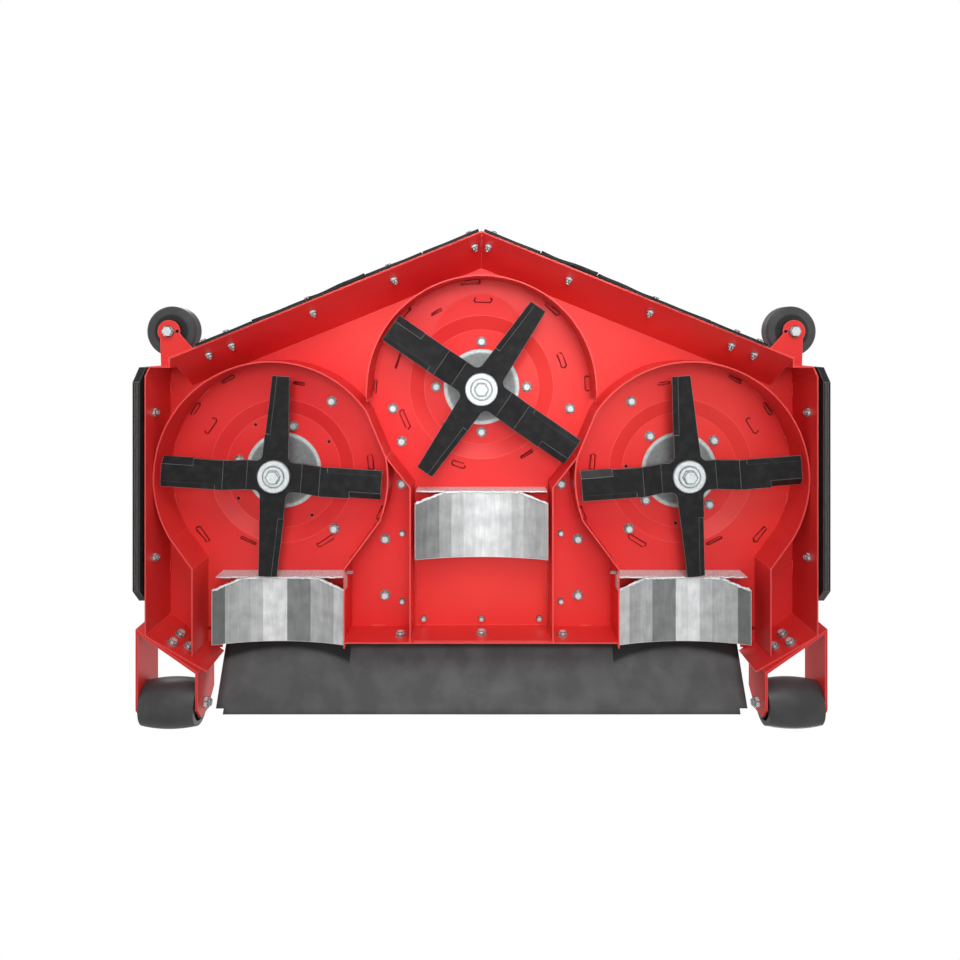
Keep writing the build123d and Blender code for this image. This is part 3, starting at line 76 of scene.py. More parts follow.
# %% The camera under the deck
shaft_low, shaft_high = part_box("spindle_shaft_centre")
centre_y = (shaft_low.y + shaft_high.y) / 2
lens_drop, lens_ahead = 1.746, 0.133  # metres below the ground line and in front of the spindle
photo_scale = 746.0  # pixels that a metre covers at one metre from the lens
picture, axis_x, axis_y = 960.0, 481.5, 335.0  # the picture's side and where the lens points
sensor = 36.0  # the width of the sensor in millimetres
camera = bpy.data.objects.new("camera", bpy.data.cameras.new("camera"))
scene.collection.objects.link(camera)
camera.data.sensor_width = sensor
camera.data.lens = sensor * photo_scale / picture
camera.location = (0.0, centre_y - lens_ahead, -lens_drop)
camera.rotation_mode = "XYZ"
right, up, back = Vector((1, 0, 0)), Vector((0, -1, 0)), Vector((0, 0, -1))
camera.rotation_euler = Matrix((right, up, back)).transposed().to_euler()
camera.data.shift_x = (picture / 2 - axis_x) / picture
camera.data.shift_y = -(picture / 2 - axis_y) / picture
camera.data.clip_start = 0.05
camera.data.clip_end = 50.0
scene.camera = camera
print("camera at", tuple(round(v, 3) for v in camera.location), "lens", round(camera.data.lens, 2))

# %% [markdown]
# A plain finish is never one flat value. Each material here starts from the same few steps:
# a slow change of tone, a fine change of roughness and a small bump.

# %% A base for every finish
def new_finish(name, colour, roughness, metallic=0.0):
    """A material with its shader's colour, roughness and metal set on the sockets."""
    material = bpy.data.materials.new(name)
    material.use_nodes = True
    shader = material.node_tree.nodes["Principled BSDF"]
    shader.inputs["Base Color"].default_value = (*colour, 1.0)
    shader.inputs["Roughness"].default_value = roughness
    shader.inputs["Metallic"].default_value = metallic
    return material, shader


def noise(material, size, detail=4.0):
    """A noise that keeps its size in metres on every part."""
    nodes, links = material.node_tree.nodes, material.node_tree.links
    place = nodes.new("ShaderNodeTexCoord")
    texture = nodes.new("ShaderNodeTexNoise")
    texture.inputs["Scale"].default_value = 1.0 / size
    texture.inputs["Detail"].default_value = detail
    links.new(place.outputs["Object"], texture.inputs["Vector"])
    return texture.outputs["Fac"]


def ramp(material, source, low, high, start=0.35, end=0.65):
    """Two colours along a value from 0 to 1."""
    nodes, links = material.node_tree.nodes, material.node_tree.links
    node = nodes.new("ShaderNodeValToRGB")
    node.color_ramp.elements[0].position = start
    node.color_ramp.elements[0].color = (*low, 1.0)
    node.color_ramp.elements[1].position = end
    node.color_ramp.elements[1].color = (*high, 1.0)
    links.new(source, node.inputs["Fac"])
    return node.outputs["Color"]


def bump(material, shader, source, depth, strength=1.0):
    """Fine relief of this depth in metres."""
    nodes, links = material.node_tree.nodes, material.node_tree.links
    node = nodes.new("ShaderNodeBump")
    node.inputs["Strength"].default_value = strength
    node.inputs["Distance"].default_value = depth
    links.new(source, node.inputs["Height"])
    links.new(node.outputs["Normal"], shader.inputs["Normal"])


def vary_roughness(material, shader, source, low, high):
    """Roughness that changes along a value from 0 to 1."""
    nodes, links = material.node_tree.nodes, material.node_tree.links
    node = nodes.new("ShaderNodeMapRange")
    node.inputs["To Min"].default_value = low
    node.inputs["To Max"].default_value = high
    links.new(source, node.inputs["Value"])
    links.new(node.outputs["Result"], shader.inputs["Roughness"])


# %% [markdown]
# ## Worn and highlit edges
# Paint is thin on an edge and rubs off there first, and an edge also catches the light. The
# lighter edges here are both wear and a painted highlight, and on zinc the same edges get
# painted shade. The wear could be painted on by hand, but the shader can find the edges itself:
# it compares a rounded normal with the flat one, and the two differ only close to an edge.
# So every piece wears in the right places.

# %% Where an edge is
def edge_mask(material, width, start=0.02, end=0.25):
    """A value that rises to 1 on edges this wide, where a rounded normal leaves the flat one."""
    nodes, links = material.node_tree.nodes, material.node_tree.links
    rounded = nodes.new("ShaderNodeBevel")
    rounded.samples = 4
    rounded.inputs["Radius"].default_value = width
    plain = nodes.new("ShaderNodeNewGeometry")
    apart = nodes.new("ShaderNodeVectorMath")
    apart.operation = "DISTANCE"
    links.new(rounded.outputs["Normal"], apart.inputs[0])
    links.new(plain.outputs["Normal"], apart.inputs[1])
    reach = nodes.new("ShaderNodeMapRange")
    reach.inputs["From Min"].default_value = start
    reach.inputs["From Max"].default_value = end
    links.new(apart.outputs["Value"], reach.inputs["Value"])
    return reach.outputs["Result"]


def blend_colour(material, factor, first, second):
    """Two colours mixed by a value: each is a socket or a plain colour."""
    node = material.node_tree.nodes.new("ShaderNodeMix")
    node.data_type = "RGBA"
    material.node_tree.links.new(factor, node.inputs["Factor"])
    for socket, colour in ((node.inputs[6], first), (node.inputs[7], second)):
        if isinstance(colour, tuple):
            socket.default_value = (*colour, 1.0)
        else:
            material.node_tree.links.new(colour, socket)
    return node.outputs[2]


# %% [markdown]
# ## The deck's red paint
# Powder coat on sheet steel: one strong red with a soft orange peel, so highlights are wide
# but still clear. The peel is far too fine to be geometry, so it is a shallow bump.

# %% Red powder coat
def red_coat():
    """The deck's paint: two close reds in slow clouds, lighter on the edges by wear and a painted
    highlight.
    """
    material, shader = new_finish("red powder coat", (0.76, 0.026, 0.028), 0.40)
    shader.inputs["Specular IOR Level"].default_value = 0.32
    tone = noise(material, 0.4, 3.0)
    colour = ramp(material, tone, (0.66, 0.020, 0.024), (0.76, 0.044, 0.038), 0.3, 0.7)
    # The light pink edges are wear and a painted highlight.
    wear_and_highlight = blend_colour(material, edge_mask(material, 0.0015), colour, (0.85, 0.17, 0.15))
    material.node_tree.links.new(wear_and_highlight, shader.inputs["Base Color"])
    bump(material, shader, noise(material, 0.003, 2.0), 0.0002, 0.2)
    return material


# %% [markdown]
# ## Black painted steel
# The blades and brackets: a thin black coat over rolled steel, scuffed in patches, with edges
# lighter by wear and a painted highlight.

# %% Black coat
def black_coat(name, colour, roughness, scuff, edge=(0.22, 0.22, 0.22)):
    """Thin dark paint on steel, with scuffs in patches and edges that are bare metal and a painted
    highlight.
    """
    material, shader = new_finish(name, colour, roughness)
    tone = noise(material, 0.02, 6.0)
    colour = ramp(material, tone, colour, scuff, 0.45, 0.8)
    # The light edges are bare metal and a painted highlight.
    wear_and_highlight = blend_colour(material, edge_mask(material, 0.0012), colour, edge)
    material.node_tree.links.new(wear_and_highlight, shader.inputs["Base Color"])
    shader.inputs["Specular IOR Level"].default_value = 0.32
    vary_roughness(material, shader, noise(material, 0.05, 4.0), roughness - 0.08, roughness + 0.12)
    bump(material, shader, noise(material, 0.0015, 2.0), 0.0001, 0.3)
    return material


# %% [markdown]
# ## Zinc plate and bare metal
# Bolts are zinc plated and pale; painted shade darkens the edges and the corners of the head.
# A mirror-like metal would only repeat the red around it, so part of the shader stays matt, and
# the colour has the cool tint of a blue passivated zinc coat.

# %% Plain metals
def bare_metal(name, colour, roughness, grain, metallic=1.0, edge=None):
    """Metal with a fine grain in metres. An edge colour is painted shade on its edges and in its
    corners.
    """
    material, shader = new_finish(name, colour, roughness, metallic)
    tone = noise(material, grain, 3.0)
    low = tuple(0.8 * c for c in colour)
    tint = ramp(material, tone, low, colour)
    if edge:
        # Painted shade: the edges and corners turn dark and matt.
        edge_shade = edge_mask(material, 0.0042, 0.03, 0.2)
        tint = blend_colour(material, edge_shade, tint, edge)
        shade_metallic = material.node_tree.nodes.new("ShaderNodeMapRange")
        shade_metallic.inputs["To Min"].default_value = metallic
        shade_metallic.inputs["To Max"].default_value = 0.05
        material.node_tree.links.new(edge_shade, shade_metallic.inputs["Value"])
        material.node_tree.links.new(shade_metallic.outputs["Result"], shader.inputs["Metallic"])
    material.node_tree.links.new(tint, shader.inputs["Base Color"])
    fine = noise(material, 0.4 * grain, 3.0)
    vary_roughness(material, shader, fine, 0.8 * roughness, 1.25 * roughness)
    return material


# %% [markdown]
# ## The discharge hoods
# Each hood is a thin bright sheet that was bent in narrow strips on a folding machine. Every
# strip lies at its own angle and mirrors another part of the workshop, so the strips read as
# bands from white to grey. A studio has nothing to mirror, so the bands are painted reflections
# in the colour, and so is the flange's plain light tone. The sum of two waves, taken once for
# each strip, gives tones that look uneven but never change from run to run, and a fine noise,
# drawn out along the sheet, gives the marks of the rollers.

# %% Arithmetic and layers
def reckon(material, operation, source, *values):
    """One step of arithmetic on a socket. Each further value is a number or a socket."""
    node = material.node_tree.nodes.new("ShaderNodeMath")
    node.operation = operation
    material.node_tree.links.new(source, node.inputs[0])
    for socket, value in zip(node.inputs[1:], values):
        if isinstance(value, (int, float)):
            socket.default_value = value
        else:
            material.node_tree.links.new(value, socket)
    return node.outputs["Value"]


def darken(material, colour, layer):
    """A colour multiplied by a second one."""
    node = material.node_tree.nodes.new("ShaderNodeMix")
    node.data_type = "RGBA"
    node.blend_type = "MULTIPLY"
    node.inputs["Factor"].default_value = 1.0
    material.node_tree.links.new(colour, node.inputs[6])
    material.node_tree.links.new(layer, node.inputs[7])
    return node.outputs[2]


# %% Bright sheet in strips
def hood_sheet(name, strips, mean, waves):
    """Bands of painted reflection across one node's width. A wave is its height, its turn per strip
    and its start.
    """
    low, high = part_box(name)
    material, shader = new_finish("bright sheet " + name, (0.6, 0.61, 0.62), 0.32, 0.25)
    nodes, links = material.node_tree.nodes, material.node_tree.links
    place = nodes.new("ShaderNodeTexCoord")
    across = nodes.new("ShaderNodeSeparateXYZ")
    links.new(place.outputs["Object"], across.inputs["Vector"])
    width = high.x - low.x
    along = reckon(
        material, "MULTIPLY_ADD", across.outputs["X"], -strips / width, strips * high.x / width
    )
    strip = reckon(material, "FLOOR", along)
    level = mean
    for height, turn, start in waves:
        wave = reckon(material, "SINE", reckon(material, "MULTIPLY_ADD", strip, turn, start))
        level = reckon(material, "MULTIPLY_ADD", wave, height, level)
    # Dark to light strips: painted reflections.
    reflection_bands = ramp(material, level, (0.05, 0.06, 0.055), (0.93, 0.94, 0.94), 0.1, 1.0)
    # The rollers' marks run along the sheet: a fine noise, drawn out to about eight times.
    fine, drawn_out = 160.0, 0.12
    stretched = nodes.new("ShaderNodeMapping")
    stretched.inputs["Scale"].default_value = (1.0, drawn_out, 1.0)
    links.new(place.outputs["Object"], stretched.inputs["Vector"])
    rolled = nodes.new("ShaderNodeTexNoise")
    rolled.inputs["Scale"].default_value = fine
    rolled.inputs["Detail"].default_value = 3.0
    links.new(stretched.outputs["Vector"], rolled.inputs["Vector"])
    marks = ramp(material, rolled.outputs["Fac"], (0.86, 0.86, 0.87), (1.0, 1.0, 1.0))
    cloud = ramp(material, noise(material, 0.03, 5.0), (0.80, 0.80, 0.81), (1.0, 1.0, 1.0))
    reflection_bands = darken(material, darken(material, reflection_bands, marks), cloud)
    # Only the arch is folded in strips: the flange, which stands upright, is plain, and its light
    # tone is a painted reflection.
    facing = nodes.new("ShaderNodeNewGeometry")
    turned = nodes.new("ShaderNodeSeparateXYZ")
    links.new(facing.outputs["True Normal"], turned.inputs["Vector"])
    upright = reckon(
        material, "LESS_THAN", reckon(material, "ABSOLUTE", turned.outputs["Z"]), 0.5
    )
    plain = ramp(material, rolled.outputs["Fac"], (0.52, 0.68, 0.70), (0.80, 1.0, 1.0))
    sheet = blend_colour(material, upright, reflection_bands, plain)
    # Light edges: a painted highlight.
    edged = blend_colour(material, edge_mask(material, 0.0018), sheet, (0.9, 0.9, 0.9))
    links.new(edged, shader.inputs["Base Color"])
    vary_roughness(material, shader, noise(material, 0.012, 4.0), 0.22, 0.42)
    return material


# %% [markdown]
# ## Rubber and plastic
# Flaps, tyres and belt covers are all matt and dark, but no two of them alike: rubber greys with
# dust and age, and moulded plastic keeps a fine even grain. One function makes them all from a
# colour, a roughness and the size and depth of the grain.

# %% Rubber and moulded plastic
def soft_black(name, colour, roughness, grain, depth):
    """A dark soft finish with lighter dusty clouds and a fine grain in metres."""
    material, shader = new_finish(name, colour, roughness)
    shader.inputs["Specular IOR Level"].default_value = 0.35
    tone = noise(material, 0.06, 5.0)
    high = tuple(1.6 * c for c in colour)
    dusty = ramp(material, tone, colour, high, 0.4, 0.8)
    material.node_tree.links.new(dusty, shader.inputs["Base Color"])
    bump(material, shader, noise(material, grain, 2.0), depth, 0.5)
    return material


# %% [markdown]
# ## A finish for every node
# The record gives each node a material slot, which says what the piece is made of. A table from
# slot to finish dresses the whole deck at once, so that a new node can't be forgotten.

# %% The table of finishes
finishes = {
    "red_paint": red_coat(),
    "black_paint": black_coat("black coat", (0.012, 0.012, 0.013), 0.42, (0.025, 0.025, 0.026)),
    "grey_paint": black_coat("dark grey coat", (0.03, 0.031, 0.033), 0.4, (0.06, 0.06, 0.062)),
    "blade_steel": black_coat(
        "blade coat", (0.008, 0.008, 0.009), 0.34, (0.020, 0.020, 0.021), (0.26, 0.26, 0.26)
    ),
    # The zinc's near-black edge colour is painted shade.
    "zinc_steel": bare_metal(
        "zinc plate", (0.84, 0.90, 0.91), 0.28, 0.004, 0.35, (0.012, 0.013, 0.013)
    ),
    "bright_steel": bare_metal("bright sheet", (0.80, 0.86, 0.87), 0.3, 0.006, 0.2),
    "turned_steel": bare_metal("turned steel", (0.70, 0.76, 0.77), 0.3, 0.006, 0.5),
    "housing_metal": bare_metal("housing metal", (0.52, 0.58, 0.58), 0.38, 0.01, 0.3),
    "pressed_steel": black_coat("pressed steel", (0.02, 0.02, 0.02), 0.35, (0.05, 0.05, 0.05)),
    "belt_rubber": soft_black("belt rubber", (0.012, 0.012, 0.012), 0.7, 0.001, 0.0001),
    "flap_rubber": soft_black("flap rubber", (0.075, 0.076, 0.078), 0.6, 0.002, 0.0003),
    "flap_edge": soft_black("front flap rubber", (0.014, 0.014, 0.015), 0.55, 0.002, 0.0003),
    "wheel_plastic": soft_black("wheel rubber", (0.054, 0.054, 0.056), 0.38, 0.002, 0.0003),
    "black_plastic": soft_black("moulded plastic", (0.02, 0.02, 0.021), 0.45, 0.0012, 0.0002),
    "cast_metal": soft_black("painted casting", (0.025, 0.025, 0.026), 0.55, 0.004, 0.0006),
}
slots = {s["node"]: s["material_slot"] for s in frame["record"]["subparts"]}
for name, node in frame["nodes"].items():
    node.data.materials.clear()
    node.data.materials.append(finishes[slots[name]])
print("finished", len(slots), "nodes in", len(finishes), "finishes")

# %% [markdown]
# ## Hub and rim
# A corner wheel's tyre is greyer than its hub, and a spindle housing's rim is machined bright.
# Each is one solid, so its finish changes with the distance from the axis instead.

# %% Two tones round an axis
def ringed(name, reach, inner, outer, fade=0.0015):
    """The node's finish with one tone inside a radius and another outside it."""
    material = finishes[slots[name]].copy()
    material.name = "ringed " + name
    shader = material.node_tree.nodes["Principled BSDF"]
    low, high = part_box(name)
    nodes, links = material.node_tree.nodes, material.node_tree.links
    place = nodes.new("ShaderNodeTexCoord")
    flat = nodes.new("ShaderNodeVectorMath")
    flat.operation = "MULTIPLY"
    flat.inputs[1].default_value = (1.0, 1.0, 0.0)
    links.new(place.outputs["Object"], flat.inputs[0])
    away = nodes.new("ShaderNodeVectorMath")
    away.operation = "DISTANCE"
    away.inputs[1].default_value = ((low.x + high.x) / 2, (low.y + high.y) / 2, 0.0)
    links.new(flat.outputs["Vector"], away.inputs[0])
    tone = ramp(material, away.outputs["Value"], inner, outer, reach - fade, reach + fade)
    plain = shader.inputs["Base Color"].links[0].from_socket
    links.new(darken(material, plain, tone), shader.inputs["Base Color"])
    frame["nodes"][name].data.materials[0] = material


hub_r, rim_r = 0.041, 0.087
for name in ("corner_wheel_left", "corner_wheel_right"):
    ringed(name, hub_r, (0.35, 0.35, 0.35), (1.0, 1.0, 1.0))
for name in ("spindle_housing_left", "spindle_housing_centre", "spindle_housing_right"):
    ringed(name, rim_r, (0.5, 0.5, 0.5), (1.3, 1.3, 1.3))
print("ringed two wheels and three housings")

# %% Bands on the three hoods
hoods = ("discharge_hood_left", "discharge_hood_centre", "discharge_hood_right")
hood_strips, side_mean, centre_mean = 11, 0.64, 0.88
side_waves = ((0.33, 0.90, -1.89), (0.21, 1.85, -0.44))
centre_waves = ((0.30, 0.20, -2.97), (0.34, 0.60, -1.39))
# The far side's hood is the mirror image, so its waves run from the last strip to the first.
far_waves = tuple(
    (height, -turn, start + (hood_strips - 1) * turn) for height, turn, start in side_waves
)
means = (side_mean, centre_mean, side_mean)
for name, mean, waves in zip(hoods, means, (side_waves, centre_waves, far_waves)):
    frame["nodes"][name].data.materials[0] = hood_sheet(name, hood_strips, mean, waves)
print("hoods in", hood_strips, "strips, far waves", far_waves)

# %% [markdown]
# ## Weld beads
# The deck is welded from flat and bent sheet. A bead is a small round ridge with a ripple for
# each stroke of the torch and an uneven width. It could be a bump in the paint, but a ridge
# that stands proud catches the light from every side, so each bead is a real tube of rings
# along its path, half sunk into the corner that it fills.

# %% Tube of weld along a path
from mathutils import noise as chance


def resample(points, spacing):
    """Points along a path at one spacing."""
    points = [Vector(q) for q in points]
    out = [points[0]]
    for a, b in zip(points, points[1:]):
        steps = max(1, round((b - a).length / spacing))
        out += [a.lerp(b, (i + 1) / steps) for i in range(steps)]
    return out


def weld_rings(path, radius, uneven, sides=8):
    """The vertices and faces of one bead, which thins out towards both of its ends."""
    count = len(path)
    vertices, faces = [], []
    for i, point in enumerate(path):
        ahead = path[i + 1] if i + 1 < count else point
        behind = path[i - 1] if i else point
        along = (ahead - behind).normalized()
        side = along.cross(Vector((0.2, 0.3, 0.93))).normalized()
        over = along.cross(side)
        end = min(1.0, 0.35 + 0.25 * min(i, count - 1 - i))
        for j in range(sides):
            turn = 2 * pi * j / sides
            stroke = 0.12 * sin(2.1 * i)
            lump = uneven * chance.noise(180 * point + Vector((j, 0, 0)))
            reach = radius * end * (1 + stroke + lump)
            vertices.append(point + reach * (cos(turn) * side + sin(turn) * over))
    for i in range(count - 1):
        for j in range(sides):
            a, b = i * sides + j, i * sides + (j + 1) % sides
            c, d = (i + 1) * sides + (j + 1) % sides, (i + 1) * sides + j
            faces.append((a, b, c, d))
    faces.append(tuple(range(sides - 1, -1, -1)))
    faces.append(tuple((count - 1) * sides + j for j in range(sides)))
    return vertices, faces


def add_piece(name, parts, finish, body="deck"):
    """One object from several lists of vertices and faces, riding on a body."""
    vertices, faces = [], []
    for some, ring in parts:
        first = len(vertices)
        vertices += some
        faces += [tuple(first + k for k in face) for face in ring]
    mesh = bpy.data.meshes.new(name)
    mesh.from_pydata([tuple(v) for v in vertices], [], faces)
    mesh.validate()
    mesh.shade_smooth()
    mesh.materials.append(finish)
    piece = bpy.data.objects.new(name, mesh)
    scene.collection.objects.link(piece)
    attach(piece, body)
    print(name, len(mesh.polygons), "faces")
    return piece


# %% [markdown]
# ## Rings of weld in the dishes
# Each dish has nine to twelve short rough rings, dark red with painted shade, the shadow of each
# slot's recess.
# They look like slots that were welded shut. What they hold on the upper side isn't visible, so
# nothing is modelled there. Their angles and radii are read off the photograph: in degrees
# clockwise as seen from below, starting at the machine's left side, and in metres. A ring could
# lie at one height, but the dish slopes, so a ray from below finds the plate over every point.

# %% The plate's underside
plate_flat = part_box("rear_wall")[1].z
plate_mesh = frame["nodes"]["top_plate"].data
plate_shape = BVHTree.FromPolygons(
    [v.co for v in plate_mesh.vertices], [tuple(f.vertices) for f in plate_mesh.polygons]
)


def under_plate(point, off):
    """The point, set this far below the plate's underside, which a ray from below finds."""
    hit = plate_shape.ray_cast(Vector((point.x, point.y, 0.0)), Vector((0, 0, 1)))[0]
    return Vector((point.x, point.y, (hit.z if hit else plate_flat) - off))


print("plate's flat underside at", round(plate_flat, 4))

# %% Rings of weld round each spindle
dish_welds = {
    "centre": [(271, 0.223), (239, 0.224), (-18.6, 0.216), (198, 0.223), (157.5, 0.212),
               (55.7, 0.206), (106.7, 0.206), (224, 0.270), (264, 0.270), (-48, 0.270),
               (-2, 0.270), (180.6, 0.270)],
    "right": [(212.5, 0.216), (281, 0.228), (-5.8, 0.227), (115.6, 0.197), (57.7, 0.210),
              (239.5, 0.272), (215.6, 0.272), (23, 0.272), (141.4, 0.259)],
    "left": [(-32.5, 0.216), (259, 0.228), (185.8, 0.227), (64.4, 0.197), (122.3, 0.210),
             (-59.5, 0.272), (-35.6, 0.272), (157, 0.272), (38.6, 0.259)],
}
slot_length, slot_width, seam_radius, seam_sunk = 0.042, 0.011, 0.0016, 0.0004
slot_steps, slot_gap = 64, 6  # points round a ring, and how many stay open where the torch stopped
slot_shade_red = finishes["red_paint"].copy()
slot_shade_red.name = "painted shade round a weld ring"
slot_shade_shader = slot_shade_red.node_tree.nodes["Principled BSDF"]
slot_shade_red.node_tree.links.remove(slot_shade_shader.inputs["Base Color"].links[0])
# The dark red is painted shade: the shadow in the slot's recess round the weld.
slot_shade_shader.inputs["Base Color"].default_value = (0.22, 0.006, 0.010, 1.0)
spindle_places = {}
for key in dish_welds:
    low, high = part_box("spindle_shaft_" + key)
    spindle_places[key] = Vector(((low.x + high.x) / 2, (low.y + high.y) / 2, 0))
print("rings of weld", {key: len(marks) for key, marks in dish_welds.items()})

# %% A rough bead round each slot
rings = []
for key, marks in dish_welds.items():
    for number, (angle, reach) in enumerate(marks):
        turn = radians(angle)
        centre = spindle_places[key] + reach * Vector((cos(turn), sin(turn), 0))
        along = Vector((-sin(turn), cos(turn), 0))
        outward = Vector((cos(turn), sin(turn), 0))
        half = (slot_length - slot_width) / 2 * (1 + 0.25 * sin(5 * number))
        width = slot_width * (0.8 + 0.35 * cos(3 * number))
        path = []
        for i in range(slot_steps):
            at = 2 * pi * i / slot_steps
            end = half if cos(at) > 0 else -half
            seed = Vector((4 * cos(at), 4 * sin(at), 7.0 * number + 20 * reach))
            rough = 1 + 0.75 * chance.noise(seed)
            offset = (end + width / 2 * cos(at)) * along + rough * width / 2 * sin(at) * outward
            bend = -0.5 * offset.dot(along) ** 2 / reach
            path.append(under_plate(centre + offset + bend * outward, seam_sunk))
        gap_at = 20 + 9 * number % 30
        path = path[gap_at:] + path[:gap_at - slot_gap]
        rings.append(weld_rings(path, seam_radius, 1.8, sides=6))
add_piece("slot_welds", rings, slot_shade_red)

# %% [markdown]
# ## Fillet welds between the sheets
# Where a wall stands on the plate, short stitches of weld hold it, about a hand's width apart.
# One long bead would warp thin sheet and take longer. One function lays stitches along a
# straight foot, and another along a ring.

# %% Stitches along the feet of the walls
bead_spacing, foot_sunk = 0.0022, 0.0006


def stitches(a, b, length=0.035, pitch=0.11, radius=0.0028):
    """Beads of one length along the line from a to b."""
    a, b = Vector(a), Vector(b)
    span = (b - a).length
    count = max(1, int(span / pitch))
    beads = []
    for i in range(count):
        middle = a.lerp(b, (i + 0.5) / count)
        half = 0.5 * length * (b - a).normalized()
        ends = (middle - half, middle + half)
        path = [under_plate(q, foot_sunk) for q in resample(ends, bead_spacing)]
        beads.append(weld_rings(path, radius, 0.5))
    return beads


# The plate gives each bead its height, so the lines have none of their own.
stand_off, skirt_sheet, wall_to_wall = 0.0008, 0.0038, 0.0046
wall_low, wall_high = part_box("rear_wall")
foot_y = wall_low.y - stand_off
beads = stitches((wall_low.x, foot_y, 0), (wall_high.x, foot_y, 0))
for side in ("left", "right"):
    sign = 1 if side == "left" else -1
    low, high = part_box("side_skirt_" + side)
    inner = sign * (max(abs(low.x), abs(high.x)) - skirt_sheet)
    beads += stitches((inner, low.y + 0.03, 0), (inner, high.y - 0.16, 0))
    low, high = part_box("channel_wall_" + side)
    face = sign * (min(abs(low.x), abs(high.x)) - stand_off)
    beads += stitches((face, low.y + 0.12, 0), (face, high.y - 0.01, 0))
    face += sign * wall_to_wall
    beads += stitches((face, high.y - 0.2, 0), (face, high.y - 0.01, 0))
print("straight stitches", len(beads))


# %% Stitches along the round baffles
def ring_stitches(centre, reach, first, last, pitch, length=0.035, radius=0.0026):
    """Beads on a circle at the foot of a round wall, from one angle to another."""
    beads = []
    count = max(1, int(abs(last - first) / pitch))
    for i in range(count):
        middle = radians(first + (i + 0.5) * (last - first) / count)
        half = 0.5 * length / reach
        path = []
        for j in range(17):
            turn = middle + half * (j / 8 - 1)
            along = Vector((cos(turn), sin(turn), 0))
            path.append(under_plate(centre + reach * along, foot_sunk))
        beads.append(weld_rings(path, radius, 0.6))
    return beads


into_corner = 0.0015
side_ring, centre_ring = 0.2805 - into_corner, 0.2755 - into_corner
beads += ring_stitches(spindle_places["centre"], centre_ring, 195, 345, 24)
beads += ring_stitches(spindle_places["right"], side_ring, 150, 300, 27)
beads += ring_stitches(spindle_places["left"], side_ring, -120, 30, 27)
add_piece("foot_welds", beads, finishes["red_paint"])

# %% [markdown]
# ## Upright corners
# Where two sheets meet at an upright corner, a welder runs the torch from top to bottom without
# a stop: at the nose, between the two leaning aprons, and at the rear ends of the channel's
# walls. The same tube of rings follows each of these lines.

# %% Upright beads at the corners
apron_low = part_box("front_apron_left")[0]
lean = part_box("top_plate")[0].y - apron_low.y
nose_y, nose_bottom, nose_top = apron_low.y + 0.008, 0.018, 0.075
front = [(0, nose_y, nose_bottom), (0, nose_y + 0.42 * lean, nose_top)]
upright = [weld_rings(resample(front, bead_spacing), 0.0034, 0.7)]
for side in ("left", "right"):
    sign = 1 if side == "left" else -1
    low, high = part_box("channel_wall_" + side)
    rear_y, wall_x = high.y - 0.001, sign * min(abs(low.x), abs(high.x))
    for offset in (-0.0012, 0.0042):
        x = wall_x + sign * offset
        line = [(x, rear_y, low.z + 0.004), (x, rear_y, high.z - 0.01)]
        upright.append(weld_rings(resample(line, bead_spacing), 0.0028, 0.6))
add_piece("corner_welds", upright, finishes["red_paint"])

# %% [markdown]
# ## Welds of the discharge hoods
# The hoods are welded in from below after the deck was painted, so their beads are bright and
# rough. They run along the cut corners of the arch and along the foot of the front flange.

# %% Bright beads on the hoods
hood_half, corner_x, corner_y = 0.1625, 0.068, 0.024
arch_rise, cut_steps, hood_spacing, flange_short = 0.027, 30, 0.003, 0.004
arch_r = (hood_half**2 + arch_rise**2) / (2 * arch_rise)


def arch(edge_z, x):
    """The height of the arch's underside at this distance from the hood's middle."""
    return edge_z + arch_rise - arch_r + (arch_r**2 - x**2) ** 0.5


hood_beads = []
for name in hoods:
    low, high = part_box(name)
    middle = (low.x + high.x) / 2
    for sign in (1, -1):
        cut = []
        for i in range(cut_steps):
            share = i / (cut_steps - 1)
            x = hood_half - corner_x * (1 - share)
            y = low.y + share * corner_y + 0.0015
            cut.append(Vector((middle + sign * x, y, arch(low.z, x) - 0.0008)))
        hood_beads.append(weld_rings(cut, 0.0030, 1.3))
    straight = [
        (middle + x, low.y + 0.0012, arch(low.z, x) - 0.0006)
        for x in (-0.094, -0.05, 0.0, 0.05, 0.094)
    ]
    hood_beads.append(weld_rings(resample(straight, hood_spacing), 0.0024, 1.2))
    foot = (low.y + 0.0008, low.z + arch_rise + 0.0005)
    flange_half = hood_half - flange_short
    flange = [(middle - flange_half, *foot), (middle + flange_half, *foot)]
    hood_beads.append(weld_rings(resample(flange, hood_spacing), 0.0022, 1.0))
add_piece("hood_welds", hood_beads, finishes["bright_steel"])

# %% [markdown]
# ## Rubber flaps of the front
# Five short flaps of rubber belt hang under each apron, so that each can swing over a stone by
# itself. Use has bent them: the free corners stand off the apron by a few millimetres.
# A cloth simulation would sag them all alike, so each flap is a grid whose points move outwards
# with their distance from the clamp, by an amount of its own.

# %% Where the front flaps hang
flap_low, flap_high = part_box("front_flaps")
slope = radians(22.1)  # how far each apron is swept back
flap_sheet, flap_count, flap_gap = 0.005, 5, 0.0025
flap_points = [v.co for v in frame["nodes"]["front_flaps"].data.vertices]
outer_n = max(abs(q.x) * sin(slope) - q.y * cos(slope) for q in flap_points)
spans = [abs(q.x) * cos(slope) + q.y * sin(slope) for q in flap_points]
flap_start, flap_end = min(spans), max(spans)
flap_length = (flap_end - flap_start - (flap_count - 1) * flap_gap) / flap_count
print("front flaps", 2 * flap_count, "of", round(flap_length, 4), "m")


